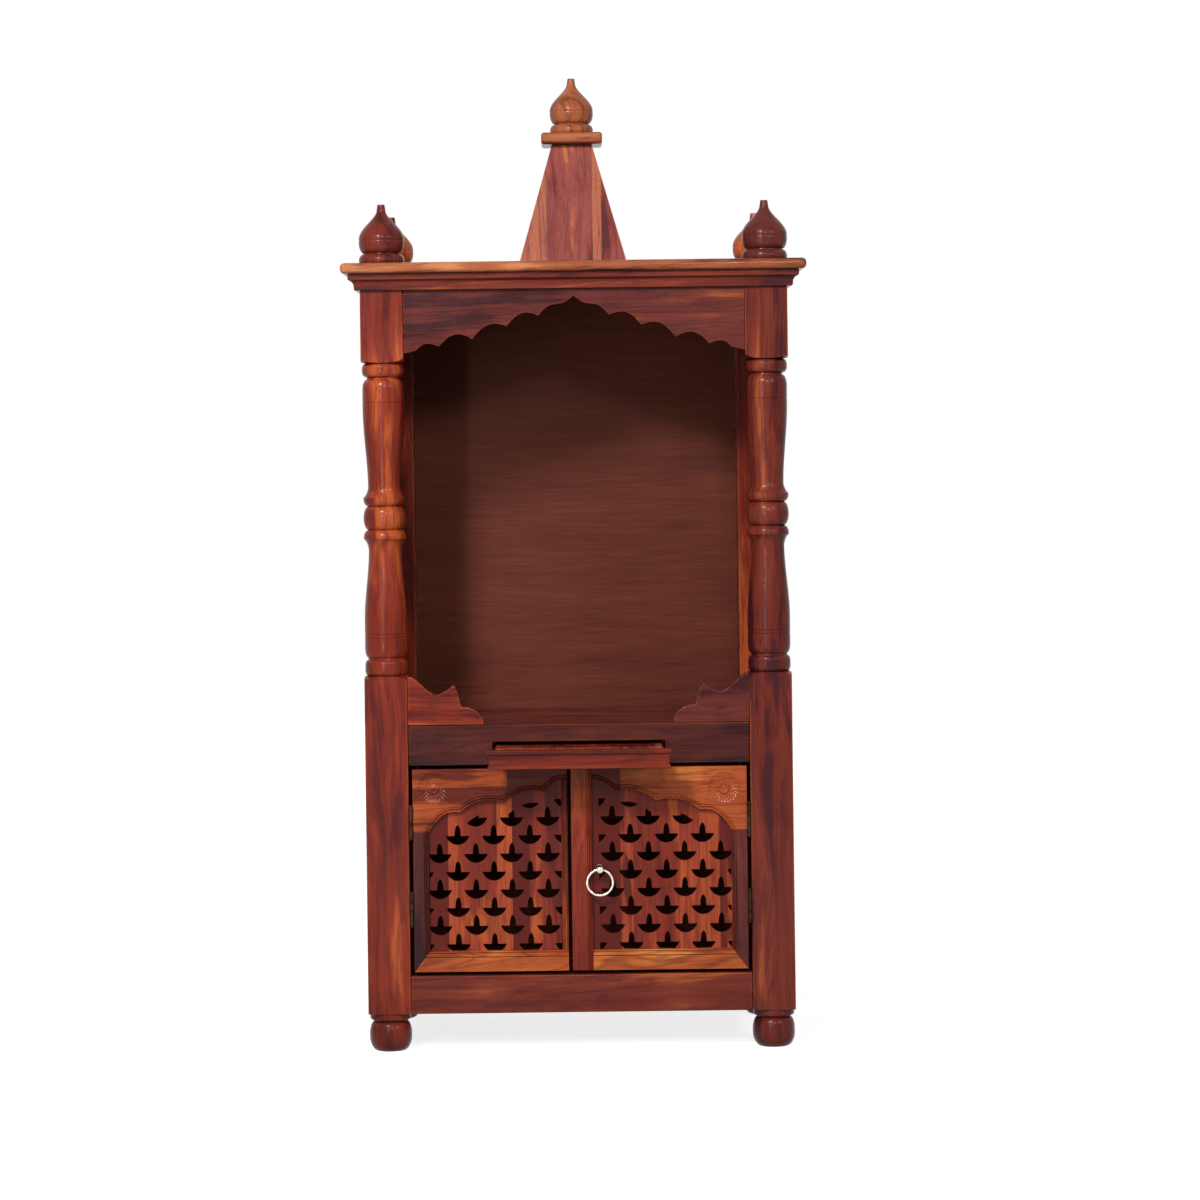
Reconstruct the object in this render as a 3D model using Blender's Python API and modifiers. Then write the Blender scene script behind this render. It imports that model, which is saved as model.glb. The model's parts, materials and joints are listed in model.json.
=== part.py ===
"""A pooja mandir, the wooden cabinet shrine of a home.

Four turned posts carry a niche with a scalloped head over a cupboard with two pierced doors.
A small tray slides out between the two. A tapered tower stands on the moulded top.
Metres, +Z up, the front faces -Y. The origin is on the floor, under the middle of the
whole outline with the tray pulled out.
"""

import math

import bmesh
import bpy
from mathutils import Matrix, Vector

# Overall body
BODY_W = 0.560  # over the posts, side to side
BODY_D = 0.350  # over the posts, front to back
POST = 0.056  # square of each post
FOOT_H = 0.050  # turned foot under the square post
SHELF_TOP = 0.428  # floor of the niche
SLAB_TOP = 1.034  # top of the flat top board
SEAT = 0.0003  # gap between pieces that touch
MOVE_GAP = 0.005  # gap round pieces that move
SETBACK = 0.0015  # rails and boards behind the faces of the posts
PAST = 0.010  # how far a cutter reaches past what it cuts

# Rails and boards
RAIL_T = 0.022
RAIL_EDGE = 0.0012  # eased edges of posts and rails
BOTTOM_RAIL_H = 0.0495
SHELF_RAIL_H = 0.053
SHELF_RAIL_EDGE = 0.002
SHELF_T = 0.016
FLOOR_T = 0.012
SIDE_T = 0.020  # side panels, set on the middle of the posts
BACK_T = 0.016
FIELD_IN = 0.005  # depth of the sunk fields on side and back panels
FIELD_EDGE = 0.034  # plain border round each sunk field
FIELD_FOOT = 0.030  # extra border under the lowest field

# Turned middle of the front posts, listed from the lower square upwards
TURN_STEPS = 16
TURN_ABOVE_SHELF = 0.0645  # where the lower square ends
TURN_UNDER_TOP = 0.1132  # where the upper square starts
WAIST_R = 0.0205
SHOULDER_R = 0.0262
RING_R = 0.0268
SQUARE_CORNER = 0.72  # half diagonal of a square, as a share of its side, where the lathe meets it
PILLOW_H = 0.010  # rounded shoulder where a square stretch ends
LOW_COLLAR_H = 0.0195
GROOVE_R = 0.0229
GROOVE_H = 0.0045
LOW_ROUND_H = 0.0105
LOW_STRAIGHT_H = 0.050
LOW_VASE_H = 0.147
RING_H = 0.020
BALL_H = 0.031
UPPER_RING_H = 0.023
UPPER_VASE_H = 0.034  # straight stretch of the upper vase
UPPER_ROUND_H = 0.014
TOP_COLLAR_H = 0.016
TOP_COLLAR_R = 0.0272
COLLAR_EDGE = 0.002

# Turned feet
BUN_R = 0.0272
BUN_FLAT_R = 0.0165
BUN_WIDE_Z = 0.018
FOOT_NECK_R = 0.0216
FOOT_NECK_Z = 0.0375
FOOT_NECK_H = 0.0015
FOOT_COLLAR_R = 0.0269
FOOT_COLLAR_H = 0.008

# Top board and the moulding under it
SLAB_T = 0.014
SLAB_OUT = 0.0245
SLAB_BACK_OUT = 0.003  # the board stands out a little behind too, under the rear finials
SLAB_ROUND = 0.0056
MOULD_H = 0.0215
MOULD_OUT = 0.0150
MOULD_STEPS = ((0.0055, 0.0), (0.0072, 0.0025), (0.0135, 0.0133))  # (out, up) of its steps

# Tower, cap and finials
TOWER_LOW_W = 0.145
TOWER_HIGH_W = 0.054
TOWER_H = 0.163
TOWER_T = 0.012
CAP_W = 0.082
CAP_T = 0.016
CAP_R = 0.0035
TOP_FINIAL_H = 0.0748
CORNER_FINIAL_H = 0.078
FINIAL_R = 0.0298
FINIAL_FOOT_R = 0.0285
FINIAL_ROLL_H = 0.0125
FINIAL_NECK_R = 0.0232
FINIAL_NECK_H = 0.0020
FINIAL_BELLY_H = 0.0145  # from the neck up to the widest place
FINIAL_LEAN = 1.25  # above 1, the shoulder stays full before it runs up to the spike
SPIKE_R = 0.0046
SPIKE_H = 0.0100
FINIAL_STEPS = 16

# Scalloped head of the niche: (share of the half width, depth under the top edge)
HEAD_T = 0.020
HEAD_FOOT = 0.1045  # depth at the posts
HEAD_PEAKS = ((0.861, 0.0918), (0.679, 0.0799), (0.469, 0.0665), (0.282, 0.0525), (0.1125, 0.0421))
HEAD_CUSPS = ((0.922, 0.1006), (0.791, 0.0960), (0.595, 0.0869), (0.393, 0.0705), (0.206, 0.0567))
HEAD_TURN = (0.070, 0.0408)  # where the last lobe turns up to the point
HEAD_POINT = 0.0305

# Low brackets beside the niche's floor: (distance from the post, height above the rail)
BRACKET_T = 0.020
BRACKET_H = 0.064
BRACKET_VALLEY = (0.0391, 0.0392)
BRACKET_EAR = (0.0606, 0.0520)
BRACKET_NOTCH = (0.0705, 0.0234)
BRACKET_L = 0.1000

# Doors
DOOR_SETBACK = 0.004
DOOR_T = 0.020
DOOR_LIP = 0.008  # frame in front of the pierced panel
MEETING_X = -0.0140  # the two doors meet left of the middle
OUTER_STILE_W = 0.0205
LEFT_MEETING_W = 0.0075
RIGHT_MEETING_W = 0.0270
DOOR_RAIL_H = 0.0265
BAND_W = 0.0065  # sunk band round each opening
BAND_D = 0.0025
REBATE = 0.0065  # how far the panel reaches behind the frame
REBATE_NARROW = 0.0035

# Scalloped edge of the doors' top rails: (share of the half width, depth under the door's top)
ARCH_FOOT = 0.0830
ARCH_PEAKS = ((0.839, 0.0562), (0.609, 0.0417), (0.311, 0.0286))
ARCH_CUSPS = ((0.793, 0.0568), (0.503, 0.0437), (0.232, 0.0306))
ARCH_END = 0.0149
ARCH_HEAD_H = 0.0120  # solid top of the arched rail, behind which no panel reaches

# Pierced panels: rows of small lamps with a flame, every second row shifted by half a pitch
PANEL_T = 0.006
LAMP_W = 0.0293
LAMP_H = 0.0107
FLAME_W = 0.0058
FLAME_TIP_W = 0.0036
FLAME_H = 0.0140
FLAME_TIP_AT = 0.8  # share of the flame's height where it starts to close
LAMP_PITCH_X = 0.0474
LAMP_PITCH_Z = 0.02365
LAMP_FIRST_X = 0.0422
LAMP_UNDER_TOP = 0.0410  # rim of the first row under the door's top
PIERCED_MARGIN = 0.0005  # plain edge between the pierced field and the stiles
PIERCED_UNDER_ARCH = 0.0170

# Butt hinges
HINGE_L = 0.046
HINGE_UNDER_TOP = 0.0690  # middle of the upper hinge under the door's top
HINGE_ABOVE_LOW = 0.0830
PIN_R = 0.0026
LEAF_T = 0.0012
LEAF_W = 0.016
KNUCKLE_GAP = 0.0004

# Ring pull
PULL_X = 0.0253
KNOB_R = 0.0060
STEM_R = 0.0030
ROSE_R = 0.0050
ROSE_T = 0.0015
WIRE_R = 0.0017
RING_CENTRE_R = 0.0170
KNOB_HOLE_R = 0.0032

# Sliding tray
TRAY_OUT = 0.075  # front of the tray before the posts, at rest
TRAY_W = 0.217
TRAY_T = 0.012
TRAY_UNDER_SHELF = 0.0275
TRAY_L = 0.205
TRAY_FRONT_W = 0.233
TRAY_FRONT_T = 0.018
TRAY_FRONT_DROP = 0.001  # top of the front piece under the tray's own top
TRAY_FRONT_H = 0.0245
TRAY_LIP_OUT = 0.0035
TRAY_LIP_H = 0.0055
TRAY_LIP_ROUND = 0.0015
TRAY_LOW_LIP_OUT = 0.0020
TRAY_LOW_LIP_H = 0.0038
TRAY_LOW_LIP_ROUND = 0.0010
RUNNER_W = 0.010
RUNNER_LEDGE = 0.010
RUNNER_LEDGE_T = 0.010
RUNNER_L = 0.190
RUNNER_PLAY = 0.0010

# Places worked out from the sizes above
Y_FRONT = (max(TRAY_OUT, SLAB_OUT) - BODY_D - SLAB_BACK_OUT) / 2
Y_BACK = Y_FRONT + BODY_D
MIDDLE_Y = (Y_FRONT + Y_BACK) / 2
POST_X = (BODY_W - POST) / 2
INNER_X = BODY_W / 2 - POST
POST_FRONT_Y = Y_FRONT + POST / 2
POST_REAR_Y = Y_BACK - POST / 2
FACE_Y = Y_FRONT + SETBACK  # faces of the front rails
BODY_TOP = SLAB_TOP - SLAB_T - SEAT
BOTTOM_RAIL_TOP = FOOT_H + BOTTOM_RAIL_H
SHELF_RAIL_LOW = SHELF_TOP - SHELF_RAIL_H
SIDE_IN = POST_X - SIDE_T / 2
BACK_FACE_Y = Y_BACK - SETBACK - BACK_T  # the back panel's face inside the niche
BOARD_FRONT_Y = FACE_Y + RAIL_T + SEAT
TOWER_LOW = SLAB_TOP + SEAT
TOWER_TOP = TOWER_LOW + TOWER_H
CAP_TOP = TOWER_TOP + SEAT + CAP_T
DOOR_LOW = BOTTOM_RAIL_TOP + MOVE_GAP
DOOR_TOP = SHELF_RAIL_LOW - MOVE_GAP
DOOR_Y = Y_FRONT + DOOR_SETBACK
DOOR_EDGE = INNER_X - MOVE_GAP
STILE_IN = DOOR_EDGE - OUTER_STILE_W  # inner edge of the outer stiles
RAIL_BAND_W = BAND_W * DOOR_RAIL_H / OUTER_STILE_W  # so that the bands meet on the mitre
RAIL_IN = DOOR_LOW + DOOR_RAIL_H  # top of the doors' bottom rails
PANEL_Y = DOOR_Y + DOOR_LIP + SEAT
PIERCED_IN = abs(MEETING_X) + MOVE_GAP / 2 + LEFT_MEETING_W + PIERCED_MARGIN
HINGE_X = INNER_X - MOVE_GAP / 2
HINGE_Z = (DOOR_TOP - HINGE_UNDER_TOP, DOOR_LOW + HINGE_ABOVE_LOW)
KNOB_Y = DOOR_Y - MOVE_GAP - WIRE_R
PULL_Z = (DOOR_LOW + DOOR_TOP) / 2
TRAY_TOP = SHELF_TOP - TRAY_UNDER_SHELF


def clear_scene():
    for obj in list(bpy.data.objects):
        bpy.data.objects.remove(obj)


def new_collection(name, shown=True):
    made = bpy.data.collections.new(name)
    bpy.context.scene.collection.children.link(made)
    made.hide_render = not shown
    return made


def material(name, colour, roughness, metallic=0.0):
    made = bpy.data.materials.new(name)
    made.use_nodes = True
    shader = made.node_tree.nodes["Principled BSDF"]
    shader.inputs["Base Color"].default_value = (*colour, 1.0)
    shader.inputs["Roughness"].default_value = roughness
    shader.inputs["Metallic"].default_value = metallic
    return made


clear_scene()
PARTS = new_collection("Pooja_mandir")
CUTTERS = new_collection("Cutters", shown=False)
DARK_WOOD = material("Dark sheesham", (0.150, 0.042, 0.022), 0.32)
LIGHT_WOOD = material("Light sheesham", (0.330, 0.120, 0.045), 0.34)
VENEER = material("Back veneer", (0.120, 0.045, 0.032), 0.45)
NICKEL = material("Polished nickel", (0.780, 0.760, 0.720), 0.14, 1.0)
BRASS = material("Dull brass", (0.360, 0.250, 0.120), 0.35, 1.0)


def add_object(name, mesh, finish):
    """The mesh as a part, or as a hidden cutter where it has no finish."""
    obj = bpy.data.objects.new(name, mesh)
    if finish is None:
        CUTTERS.objects.link(obj)
        obj.hide_render = True
        obj.display_type = "WIRE"
        return obj
    PARTS.objects.link(obj)
    mesh.materials.clear()
    mesh.materials.append(finish)
    return obj


def bevelled(obj, width, segments=2):
    modifier = obj.modifiers.new("Edges", "BEVEL")
    modifier.width = width
    modifier.segments = segments
    modifier.limit_method = "ANGLE"
    return obj


def box(name, low, high, finish, edge=0.0, segments=2):
    """A box between two corners, its origin at its middle."""
    low, high = Vector(low), Vector(high)
    mesh = bpy.data.meshes.new(name)
    shape = bmesh.new()
    bmesh.ops.create_cube(shape, size=1.0)
    bmesh.ops.scale(shape, vec=high - low, verts=shape.verts)
    shape.to_mesh(mesh)
    shape.free()
    obj = add_object(name, mesh, finish)
    obj.location = (low + high) / 2
    return bevelled(obj, edge, segments) if edge else obj


def evaluated_mesh(obj, name):
    """The object's mesh with its modifiers applied, points welded, in world space."""
    bpy.context.view_layer.update()
    graph = bpy.context.evaluated_depsgraph_get()
    mesh = bpy.data.meshes.new_from_object(obj.evaluated_get(graph))
    mesh.name = name
    mesh.transform(obj.matrix_world)
    shape = bmesh.new()
    shape.from_mesh(mesh)
    bmesh.ops.remove_doubles(shape, verts=shape.verts, dist=0.000002)
    bmesh.ops.recalc_face_normals(shape, faces=shape.faces)
    shape.to_mesh(mesh)
    shape.free()
    return mesh


def board(name, outline, thickness, finish, facing, start, holes=()):
    """A flat piece from a closed outline. facing "Z" lies level and "Y" stands facing the front.

    start is the height of its underside, or the Y of its front face.
    """
    curve = bpy.data.curves.new(name, "CURVE")
    curve.dimensions = "2D"
    curve.fill_mode = "BOTH"
    curve.extrude = thickness / 2
    for loop in (outline, *holes):
        spline = curve.splines.new("POLY")
        spline.points.add(len(loop) - 1)
        for point, (u, v) in zip(spline.points, loop):
            point.co = (u, v, 0.0, 1.0)
        spline.use_cyclic_u = True
    flat = bpy.data.objects.new(name + "_outline", curve)
    CUTTERS.objects.link(flat)
    if facing == "Y":
        flat.matrix_world = Matrix.Translation((0, start + thickness / 2, 0)) @ Matrix.Rotation(
            math.pi / 2, 4, "X"
        )
    else:
        flat.location.z = start + thickness / 2
    mesh = evaluated_mesh(flat, name)
    bpy.data.objects.remove(flat)
    return add_object(name, mesh, finish)


def turned(name, profile, finish, steps, place=(0.0, 0.0, 0.0)):
    """A turned piece from (radius, height) points listed from the bottom up."""
    mesh = bpy.data.meshes.new(name)
    points = [(radius, 0.0, height) for radius, height in reversed(profile)]
    mesh.from_pydata(points, [(i, i + 1) for i in range(len(points) - 1)], [])
    obj = add_object(name, mesh, finish)
    screw = obj.modifiers.new("Turn", "SCREW")
    screw.steps = steps
    screw.render_steps = steps
    screw.use_merge_vertices = True
    screw.merge_threshold = 0.00001
    screw.use_smooth_shade = True
    obj.location = place
    return obj


def joined(obj, other, operation):
    modifier = obj.modifiers.new(operation.title(), "BOOLEAN")
    modifier.operation = operation
    modifier.object = other
    modifier.solver = "EXACT"
    return obj


def cut(obj, name, low, high):
    """Cuts a box between two corners out of the object."""
    return joined(obj, box(name, low, high, None), "DIFFERENCE")


def settled(obj):
    """The object with its modifiers applied and its mesh in world space."""
    mesh = evaluated_mesh(obj, obj.name)
    obj.modifiers.clear()
    obj.data = mesh
    obj.matrix_world = Matrix.Identity(4)
    return obj


def smooth(obj, degrees=35):
    obj.data.shade_smooth()
    obj.data.set_sharp_from_angle(angle=math.radians(degrees))
    return obj


def quarter(start, end, upright_end, steps=4):
    """Points after start on a quarter ellipse that is level at one end and upright at the other."""
    points = []
    for i in range(1, steps + 1):
        turn = math.pi / 2 * i / steps
        along, up = math.sin(turn), 1 - math.cos(turn)
        if not upright_end:
            along, up = up, along
        points.append((start[0] + (end[0] - start[0]) * along, start[1] + (end[1] - start[1]) * up))
    return points


def ease(start, end, steps=6, lean=1.0):
    """Points after start on an S-curve that is upright at both ends; more lean stays near start longer."""
    points = []
    for i in range(1, steps + 1):
        share = i / steps
        turn = share**lean
        across = turn * turn * (3 - 2 * turn)
        points.append((start[0] + (end[0] - start[0]) * across, start[1] + (end[1] - start[1]) * share))
    return points


def bowed(start, end, out, steps=6):
    """Points between two (radius, height) points on a half-round that stands out to a radius."""
    points = []
    for i in range(1, steps):
        share = i / steps
        flat = start[0] + (end[0] - start[0]) * share
        height = (start[1] + end[1]) / 2 - (end[1] - start[1]) / 2 * math.cos(math.pi * share)
        points.append((flat + (out - flat) * math.sin(math.pi * share), height))
    return points


def foot_profile():
    """The bun foot and its collar, up into the square stretch."""
    points = [(0.0, 0.0), (BUN_FLAT_R, 0.0)]
    points += quarter(points[-1], (BUN_R, BUN_WIDE_Z), True)
    points += quarter(points[-1], (FOOT_NECK_R, FOOT_NECK_Z), False)
    points += [(FOOT_NECK_R, FOOT_NECK_Z + FOOT_NECK_H)]
    points += quarter(points[-1], (FOOT_COLLAR_R, FOOT_H - FOOT_COLLAR_H), True, 2)
    points += [(FOOT_COLLAR_R, FOOT_H), (POST, FOOT_H + COLLAR_EDGE / 2)]
    return points


def turning_profile():
    """The turned stretch of a front post between its two squares, from the bottom up."""
    low, high = SHELF_TOP + TURN_ABOVE_SHELF, BODY_TOP - TURN_UNDER_TOP
    corner_r = POST * SQUARE_CORNER
    points = [(POST, low - PILLOW_H)]
    points += quarter((corner_r, low - PILLOW_H), (SHOULDER_R, low), False, 3)
    low += LOW_COLLAR_H
    points += [(SHOULDER_R, low - COLLAR_EDGE), (GROOVE_R, low), (GROOVE_R, low + GROOVE_H)]
    low += GROOVE_H
    points += quarter(points[-1], (SHOULDER_R, low + LOW_ROUND_H), True, 3)
    points += [(SHOULDER_R, low + LOW_ROUND_H + LOW_STRAIGHT_H)]
    low += LOW_VASE_H
    points += ease(points[-1], (WAIST_R, low))
    for height, radius, steps in ((RING_H, RING_R, 4), (BALL_H, RING_R, 6), (UPPER_RING_H, SHOULDER_R, 4)):
        points += bowed((WAIST_R, low), (WAIST_R, low + height), radius, steps)
        low += height
        points += [(WAIST_R, low)]
    collar = high - TOP_COLLAR_H
    groove = collar - GROOVE_H
    shoulder = groove - UPPER_ROUND_H
    points += ease(points[-1], (SHOULDER_R, shoulder - UPPER_VASE_H), 6)
    points += [(SHOULDER_R, shoulder)]
    points += quarter(points[-1], (WAIST_R, groove), False, 3)
    points += [(WAIST_R, collar), (TOP_COLLAR_R, collar + COLLAR_EDGE), (TOP_COLLAR_R, high - COLLAR_EDGE)]
    points += [(SHOULDER_R, high)]
    points += quarter(points[-1], (corner_r, high + PILLOW_H), True, 3)
    points += [(POST, high + PILLOW_H)]
    return points


def post(name, x, y, turned_middle):
    """A square bar turned at its foot and, in front, along its middle."""
    profile = foot_profile()
    if turned_middle:
        profile += turning_profile()
    profile += [(POST, BODY_TOP + PAST), (0.0, BODY_TOP + PAST)]
    half = POST / 2
    low, high = (x - half, y - half, -PAST), (x + half, y + half, BODY_TOP)
    bar = box(name, low, high, DARK_WOOD, RAIL_EDGE, 1)
    lathe = turned(name + "_lathe", profile, None, TURN_STEPS, (x, y, 0.0))
    joined(bar, lathe, "INTERSECT")
    return smooth(settled(bar))


def posts():
    for side, x in (("left", -POST_X), ("right", POST_X)):
        post(f"post_front_{side}", x, POST_FRONT_Y, True)
        post(f"post_rear_{side}", x, POST_REAR_Y, False)


def front_rails():
    """The rail under the doors and the one under the niche, which is open for the tray."""
    reach = INNER_X - SEAT
    back = FACE_Y + RAIL_T
    low, high = (-reach, FACE_Y, FOOT_H), (reach, back, BOTTOM_RAIL_TOP)
    box("bottom_rail_front", low, high, DARK_WOOD, RAIL_EDGE, 1)
    low, high = (-reach, FACE_Y, SHELF_RAIL_LOW), (reach, back, SHELF_TOP)
    rail = box("shelf_rail_front", low, high, DARK_WOOD, SHELF_RAIL_EDGE)
    half = TRAY_W / 2 + MOVE_GAP
    slot_low, slot_high = TRAY_TOP - TRAY_T - MOVE_GAP, TRAY_TOP + MOVE_GAP
    cut(rail, "tray_slot", (-half, FACE_Y - PAST, slot_low), (half, back + PAST, slot_high))
    settled(rail)


def floor_outline():
    """A board between the panels with a notch at each post."""
    wide, narrow = SIDE_IN - SEAT, INNER_X - SEAT
    front, back = BOARD_FRONT_Y, BACK_FACE_Y - SEAT
    first, last = Y_FRONT + POST + SEAT, Y_BACK - POST - SEAT
    right = [(narrow, front), (narrow, first), (wide, first), (wide, last), (narrow, last), (narrow, back)]
    return right + [(-x, y) for x, y in reversed(right)]


def boards():
    outline = floor_outline()
    board("cabinet_floor", outline, FLOOR_T, DARK_WOOD, "Z", BOTTOM_RAIL_TOP - FLOOR_T)
    board("shelf_board", outline, SHELF_T, DARK_WOOD, "Z", SHELF_TOP - SHELF_T)


def field_heights():
    """Low and high edges of the two sunk fields of a side or back panel."""
    return (
        (FOOT_H + FIELD_EDGE + FIELD_FOOT, SHELF_RAIL_LOW - FIELD_EDGE / 2),
        (SHELF_TOP + FIELD_EDGE, BODY_TOP - FIELD_EDGE - MOULD_H),
    )


def side_panels():
    front, back = Y_FRONT + POST + SEAT, Y_BACK - POST - SEAT
    for side, sign in (("left", -1), ("right", 1)):
        outer = sign * (SIDE_IN + SIDE_T)
        near, far = sorted((sign * SIDE_IN, outer))
        panel = box(f"side_panel_{side}", (near, front, FOOT_H), (far, back, BODY_TOP), DARK_WOOD)
        for number, (low, high) in enumerate(field_heights()):
            first = (outer - FIELD_IN, front + FIELD_EDGE, low)
            cut(panel, f"side_field_{side}_{number}", first, (outer + FIELD_IN, back - FIELD_EDGE, high))
        settled(panel)


def back_panel():
    reach = INNER_X - SEAT
    outer = BACK_FACE_Y + BACK_T
    panel = box("back_panel", (-reach, BACK_FACE_Y, FOOT_H), (reach, outer, BODY_TOP), VENEER)
    for number, (low, high) in enumerate(field_heights()):
        first = (-reach + FIELD_EDGE, outer - FIELD_IN, low)
        cut(panel, f"back_field_{number}", first, (reach - FIELD_EDGE, outer + FIELD_IN, high))
    settled(panel)


def half_lobe(foot, peak, steps):
    """Points after foot on a curve that gets level at the peak."""
    points = []
    for i in range(1, steps + 1):
        left = 1 - i / steps
        points.append((peak[0] + (foot[0] - peak[0]) * left, peak[1] + (foot[1] - peak[1]) * left * left))
    return points


def scallops(start, peaks, cusps, steps=5):
    """Points after start over each peak and down to the cusp behind it; the last peak ends the row."""
    points = []
    foot = start
    for peak, cusp in zip(peaks, (*cusps, None)):
        points += half_lobe(foot, peak, steps)
        if cusp:
            points += half_lobe(cusp, peak, steps - 2)[-2::-1] + [cusp]
            foot = cusp
    return points


def placed(shares, half_width, top):
    """Points from (share of a half width, depth under a top edge) pairs."""
    return [(share * half_width, top - depth) for share, depth in shares]


def head_outline():
    """The niche's head: five lobes a side that climb from the posts to a raised point."""
    top, reach = BODY_TOP, INNER_X - SEAT
    peaks = placed(HEAD_PEAKS, INNER_X, top)
    cusps = placed(HEAD_CUSPS, INNER_X, top)
    turn = placed([HEAD_TURN], INNER_X, top)[0]
    tip = top - HEAD_POINT
    half = [(reach, top), (reach, top - HEAD_FOOT), cusps[0]]
    half += scallops(cusps[0], peaks, cusps[1:]) + [turn]
    for i in range(1, 4):
        share = i / 4
        half.append((turn[0] * (1 - share), turn[1] + (tip - turn[1]) * share**1.5))
    mirrored = [(-x, z) for x, z in reversed(half)]
    return half + [(0.0, tip)] + mirrored


def niche_head():
    board("valance_front", head_outline(), HEAD_T, DARK_WOOD, "Y", FACE_Y)


def bracket_outline(sign):
    """A bracket from the post down to the rail: S-curve, valley, pointed ear, step and round end."""
    low = SHELF_TOP + SEAT
    reach = INNER_X - SEAT

    def between(start, end, steps, across_power, up_power):
        points = []
        for i in range(1, steps + 1):
            share = i / steps
            across, up = share**across_power, share**up_power
            points.append((start[0] + (end[0] - start[0]) * across, start[1] + (end[1] - start[1]) * up))
        return points

    valley, ear, notch = (
        (INNER_X - distance, low + height) for distance, height in (BRACKET_VALLEY, BRACKET_EAR, BRACKET_NOTCH)
    )
    points = [(reach, low), (reach, low + BRACKET_H)]
    for i in range(1, 8):
        share = i / 7
        drop = share * share * (3 - 2 * share)
        points.append((reach + (valley[0] - reach) * share, points[1][1] + (valley[1] - points[1][1]) * drop))
    points += between(valley, ear, 4, 1.0, 1.3)
    points += between(ear, notch, 4, 0.75, 1.15)
    points += quarter(points[-1], (INNER_X - BRACKET_L, low), True, 7)
    return [(sign * x, z) for x, z in points]


def brackets():
    for side, sign in (("left", -1), ("right", 1)):
        board(f"bracket_{side}", bracket_outline(sign), BRACKET_T, LIGHT_WOOD, "Y", FACE_Y)


def mould_profile():
    """The moulding under the top board: (distance out, height) from its lower inner corner."""
    fillet, step, hollow = MOULD_STEPS
    edge = MOULD_OUT - hollow[0]
    points = [(SEAT, 0.0), fillet]
    points += quarter(fillet, step, True, 2)
    points += [(step[0], step[1] + edge)]
    points += quarter(points[-1], hollow, False, 4)
    points += [(MOULD_OUT, hollow[1] + edge), (MOULD_OUT, MOULD_H), (SEAT, MOULD_H)]
    return points


def moulding(name, length, turn, place, mitres):
    """A length of the moulding, running along X before it is turned, mitred at the ends named."""
    curve_outline = [(-out, height) for out, height in mould_profile()]
    mesh = bpy.data.meshes.new(name)
    shape = bmesh.new()
    reach = length / 2 + MOULD_OUT * 1.5
    ring = [shape.verts.new((-reach, y, z)) for y, z in curve_outline]
    face = shape.faces.new(ring)
    grown = bmesh.ops.extrude_face_region(shape, geom=[face])
    moved = [item for item in grown["geom"] if isinstance(item, bmesh.types.BMVert)]
    bmesh.ops.translate(shape, vec=(2 * reach, 0, 0), verts=moved)
    for side, mitred in zip((-1, 1), mitres):
        normal = Vector((side, 1.0 if mitred else 0.0, 0.0)).normalized()
        corner = Vector((side * (length / 2), 0.0, 0.0)) - normal * SEAT / 2
        bmesh.ops.bisect_plane(
            shape,
            geom=[*shape.verts, *shape.edges, *shape.faces],
            plane_co=corner,
            plane_no=normal,
            clear_outer=True,
        )
        bmesh.ops.holes_fill(shape, edges=[edge for edge in shape.edges if edge.is_boundary])
    bmesh.ops.recalc_face_normals(shape, faces=shape.faces)
    shape.to_mesh(mesh)
    shape.free()
    obj = add_object(name, mesh, DARK_WOOD)
    obj.matrix_world = Matrix.Translation(place) @ Matrix.Rotation(turn, 4, "Z")
    return settled(obj)


def cornice():
    low = BODY_TOP - MOULD_H
    moulding("cornice_front", BODY_W, 0.0, (0.0, Y_FRONT, low), (True, True))
    moulding("cornice_left", BODY_D, -math.pi / 2, (-BODY_W / 2, MIDDLE_Y, low), (False, True))
    moulding("cornice_right", BODY_D, math.pi / 2, (BODY_W / 2, MIDDLE_Y, low), (True, False))


def top_board():
    reach = BODY_W / 2 + SLAB_OUT
    low = SLAB_TOP - SLAB_T
    front, back = Y_FRONT - SLAB_OUT, Y_BACK + SLAB_BACK_OUT
    box("top_slab", (-reach, front, low), (reach, back, SLAB_TOP), DARK_WOOD, SLAB_ROUND, 3)


def frustum(name, low_w, high_w, low, high, finish):
    """A square frustum between two heights, its sides along X and Y."""
    mesh = bpy.data.meshes.new(name)
    shape = bmesh.new()
    corner = 1 / math.sqrt(2)  # half diagonal of a square, as a share of its side
    bmesh.ops.create_cone(
        shape,
        cap_ends=True,
        segments=4,
        radius1=low_w * corner,
        radius2=high_w * corner,
        depth=high - low,
        matrix=Matrix.Rotation(math.pi / 4, 4, "Z"),
    )
    shape.to_mesh(mesh)
    shape.free()
    obj = add_object(name, mesh, finish)
    obj.location = (0.0, MIDDLE_Y, (low + high) / 2)
    return obj


def tower():
    """Four tapered walls round a hollow, with the plain cap on them."""
    shell = frustum("tower", TOWER_LOW_W, TOWER_HIGH_W, TOWER_LOW, TOWER_TOP, DARK_WOOD)
    taper = (TOWER_LOW_W - TOWER_HIGH_W) / TOWER_H * SEAT
    low_w, high_w = TOWER_LOW_W - 2 * TOWER_T + taper, TOWER_HIGH_W - 2 * TOWER_T - taper
    hollow = frustum("tower_hollow", low_w, high_w, TOWER_LOW - SEAT, TOWER_TOP + SEAT, None)
    joined(shell, hollow, "DIFFERENCE")
    settled(shell)
    half = CAP_W / 2
    low = (-half, MIDDLE_Y - half, TOWER_TOP + SEAT)
    box("tower_cap", low, (half, MIDDLE_Y + half, CAP_TOP), LIGHT_WOOD, CAP_R)


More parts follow.
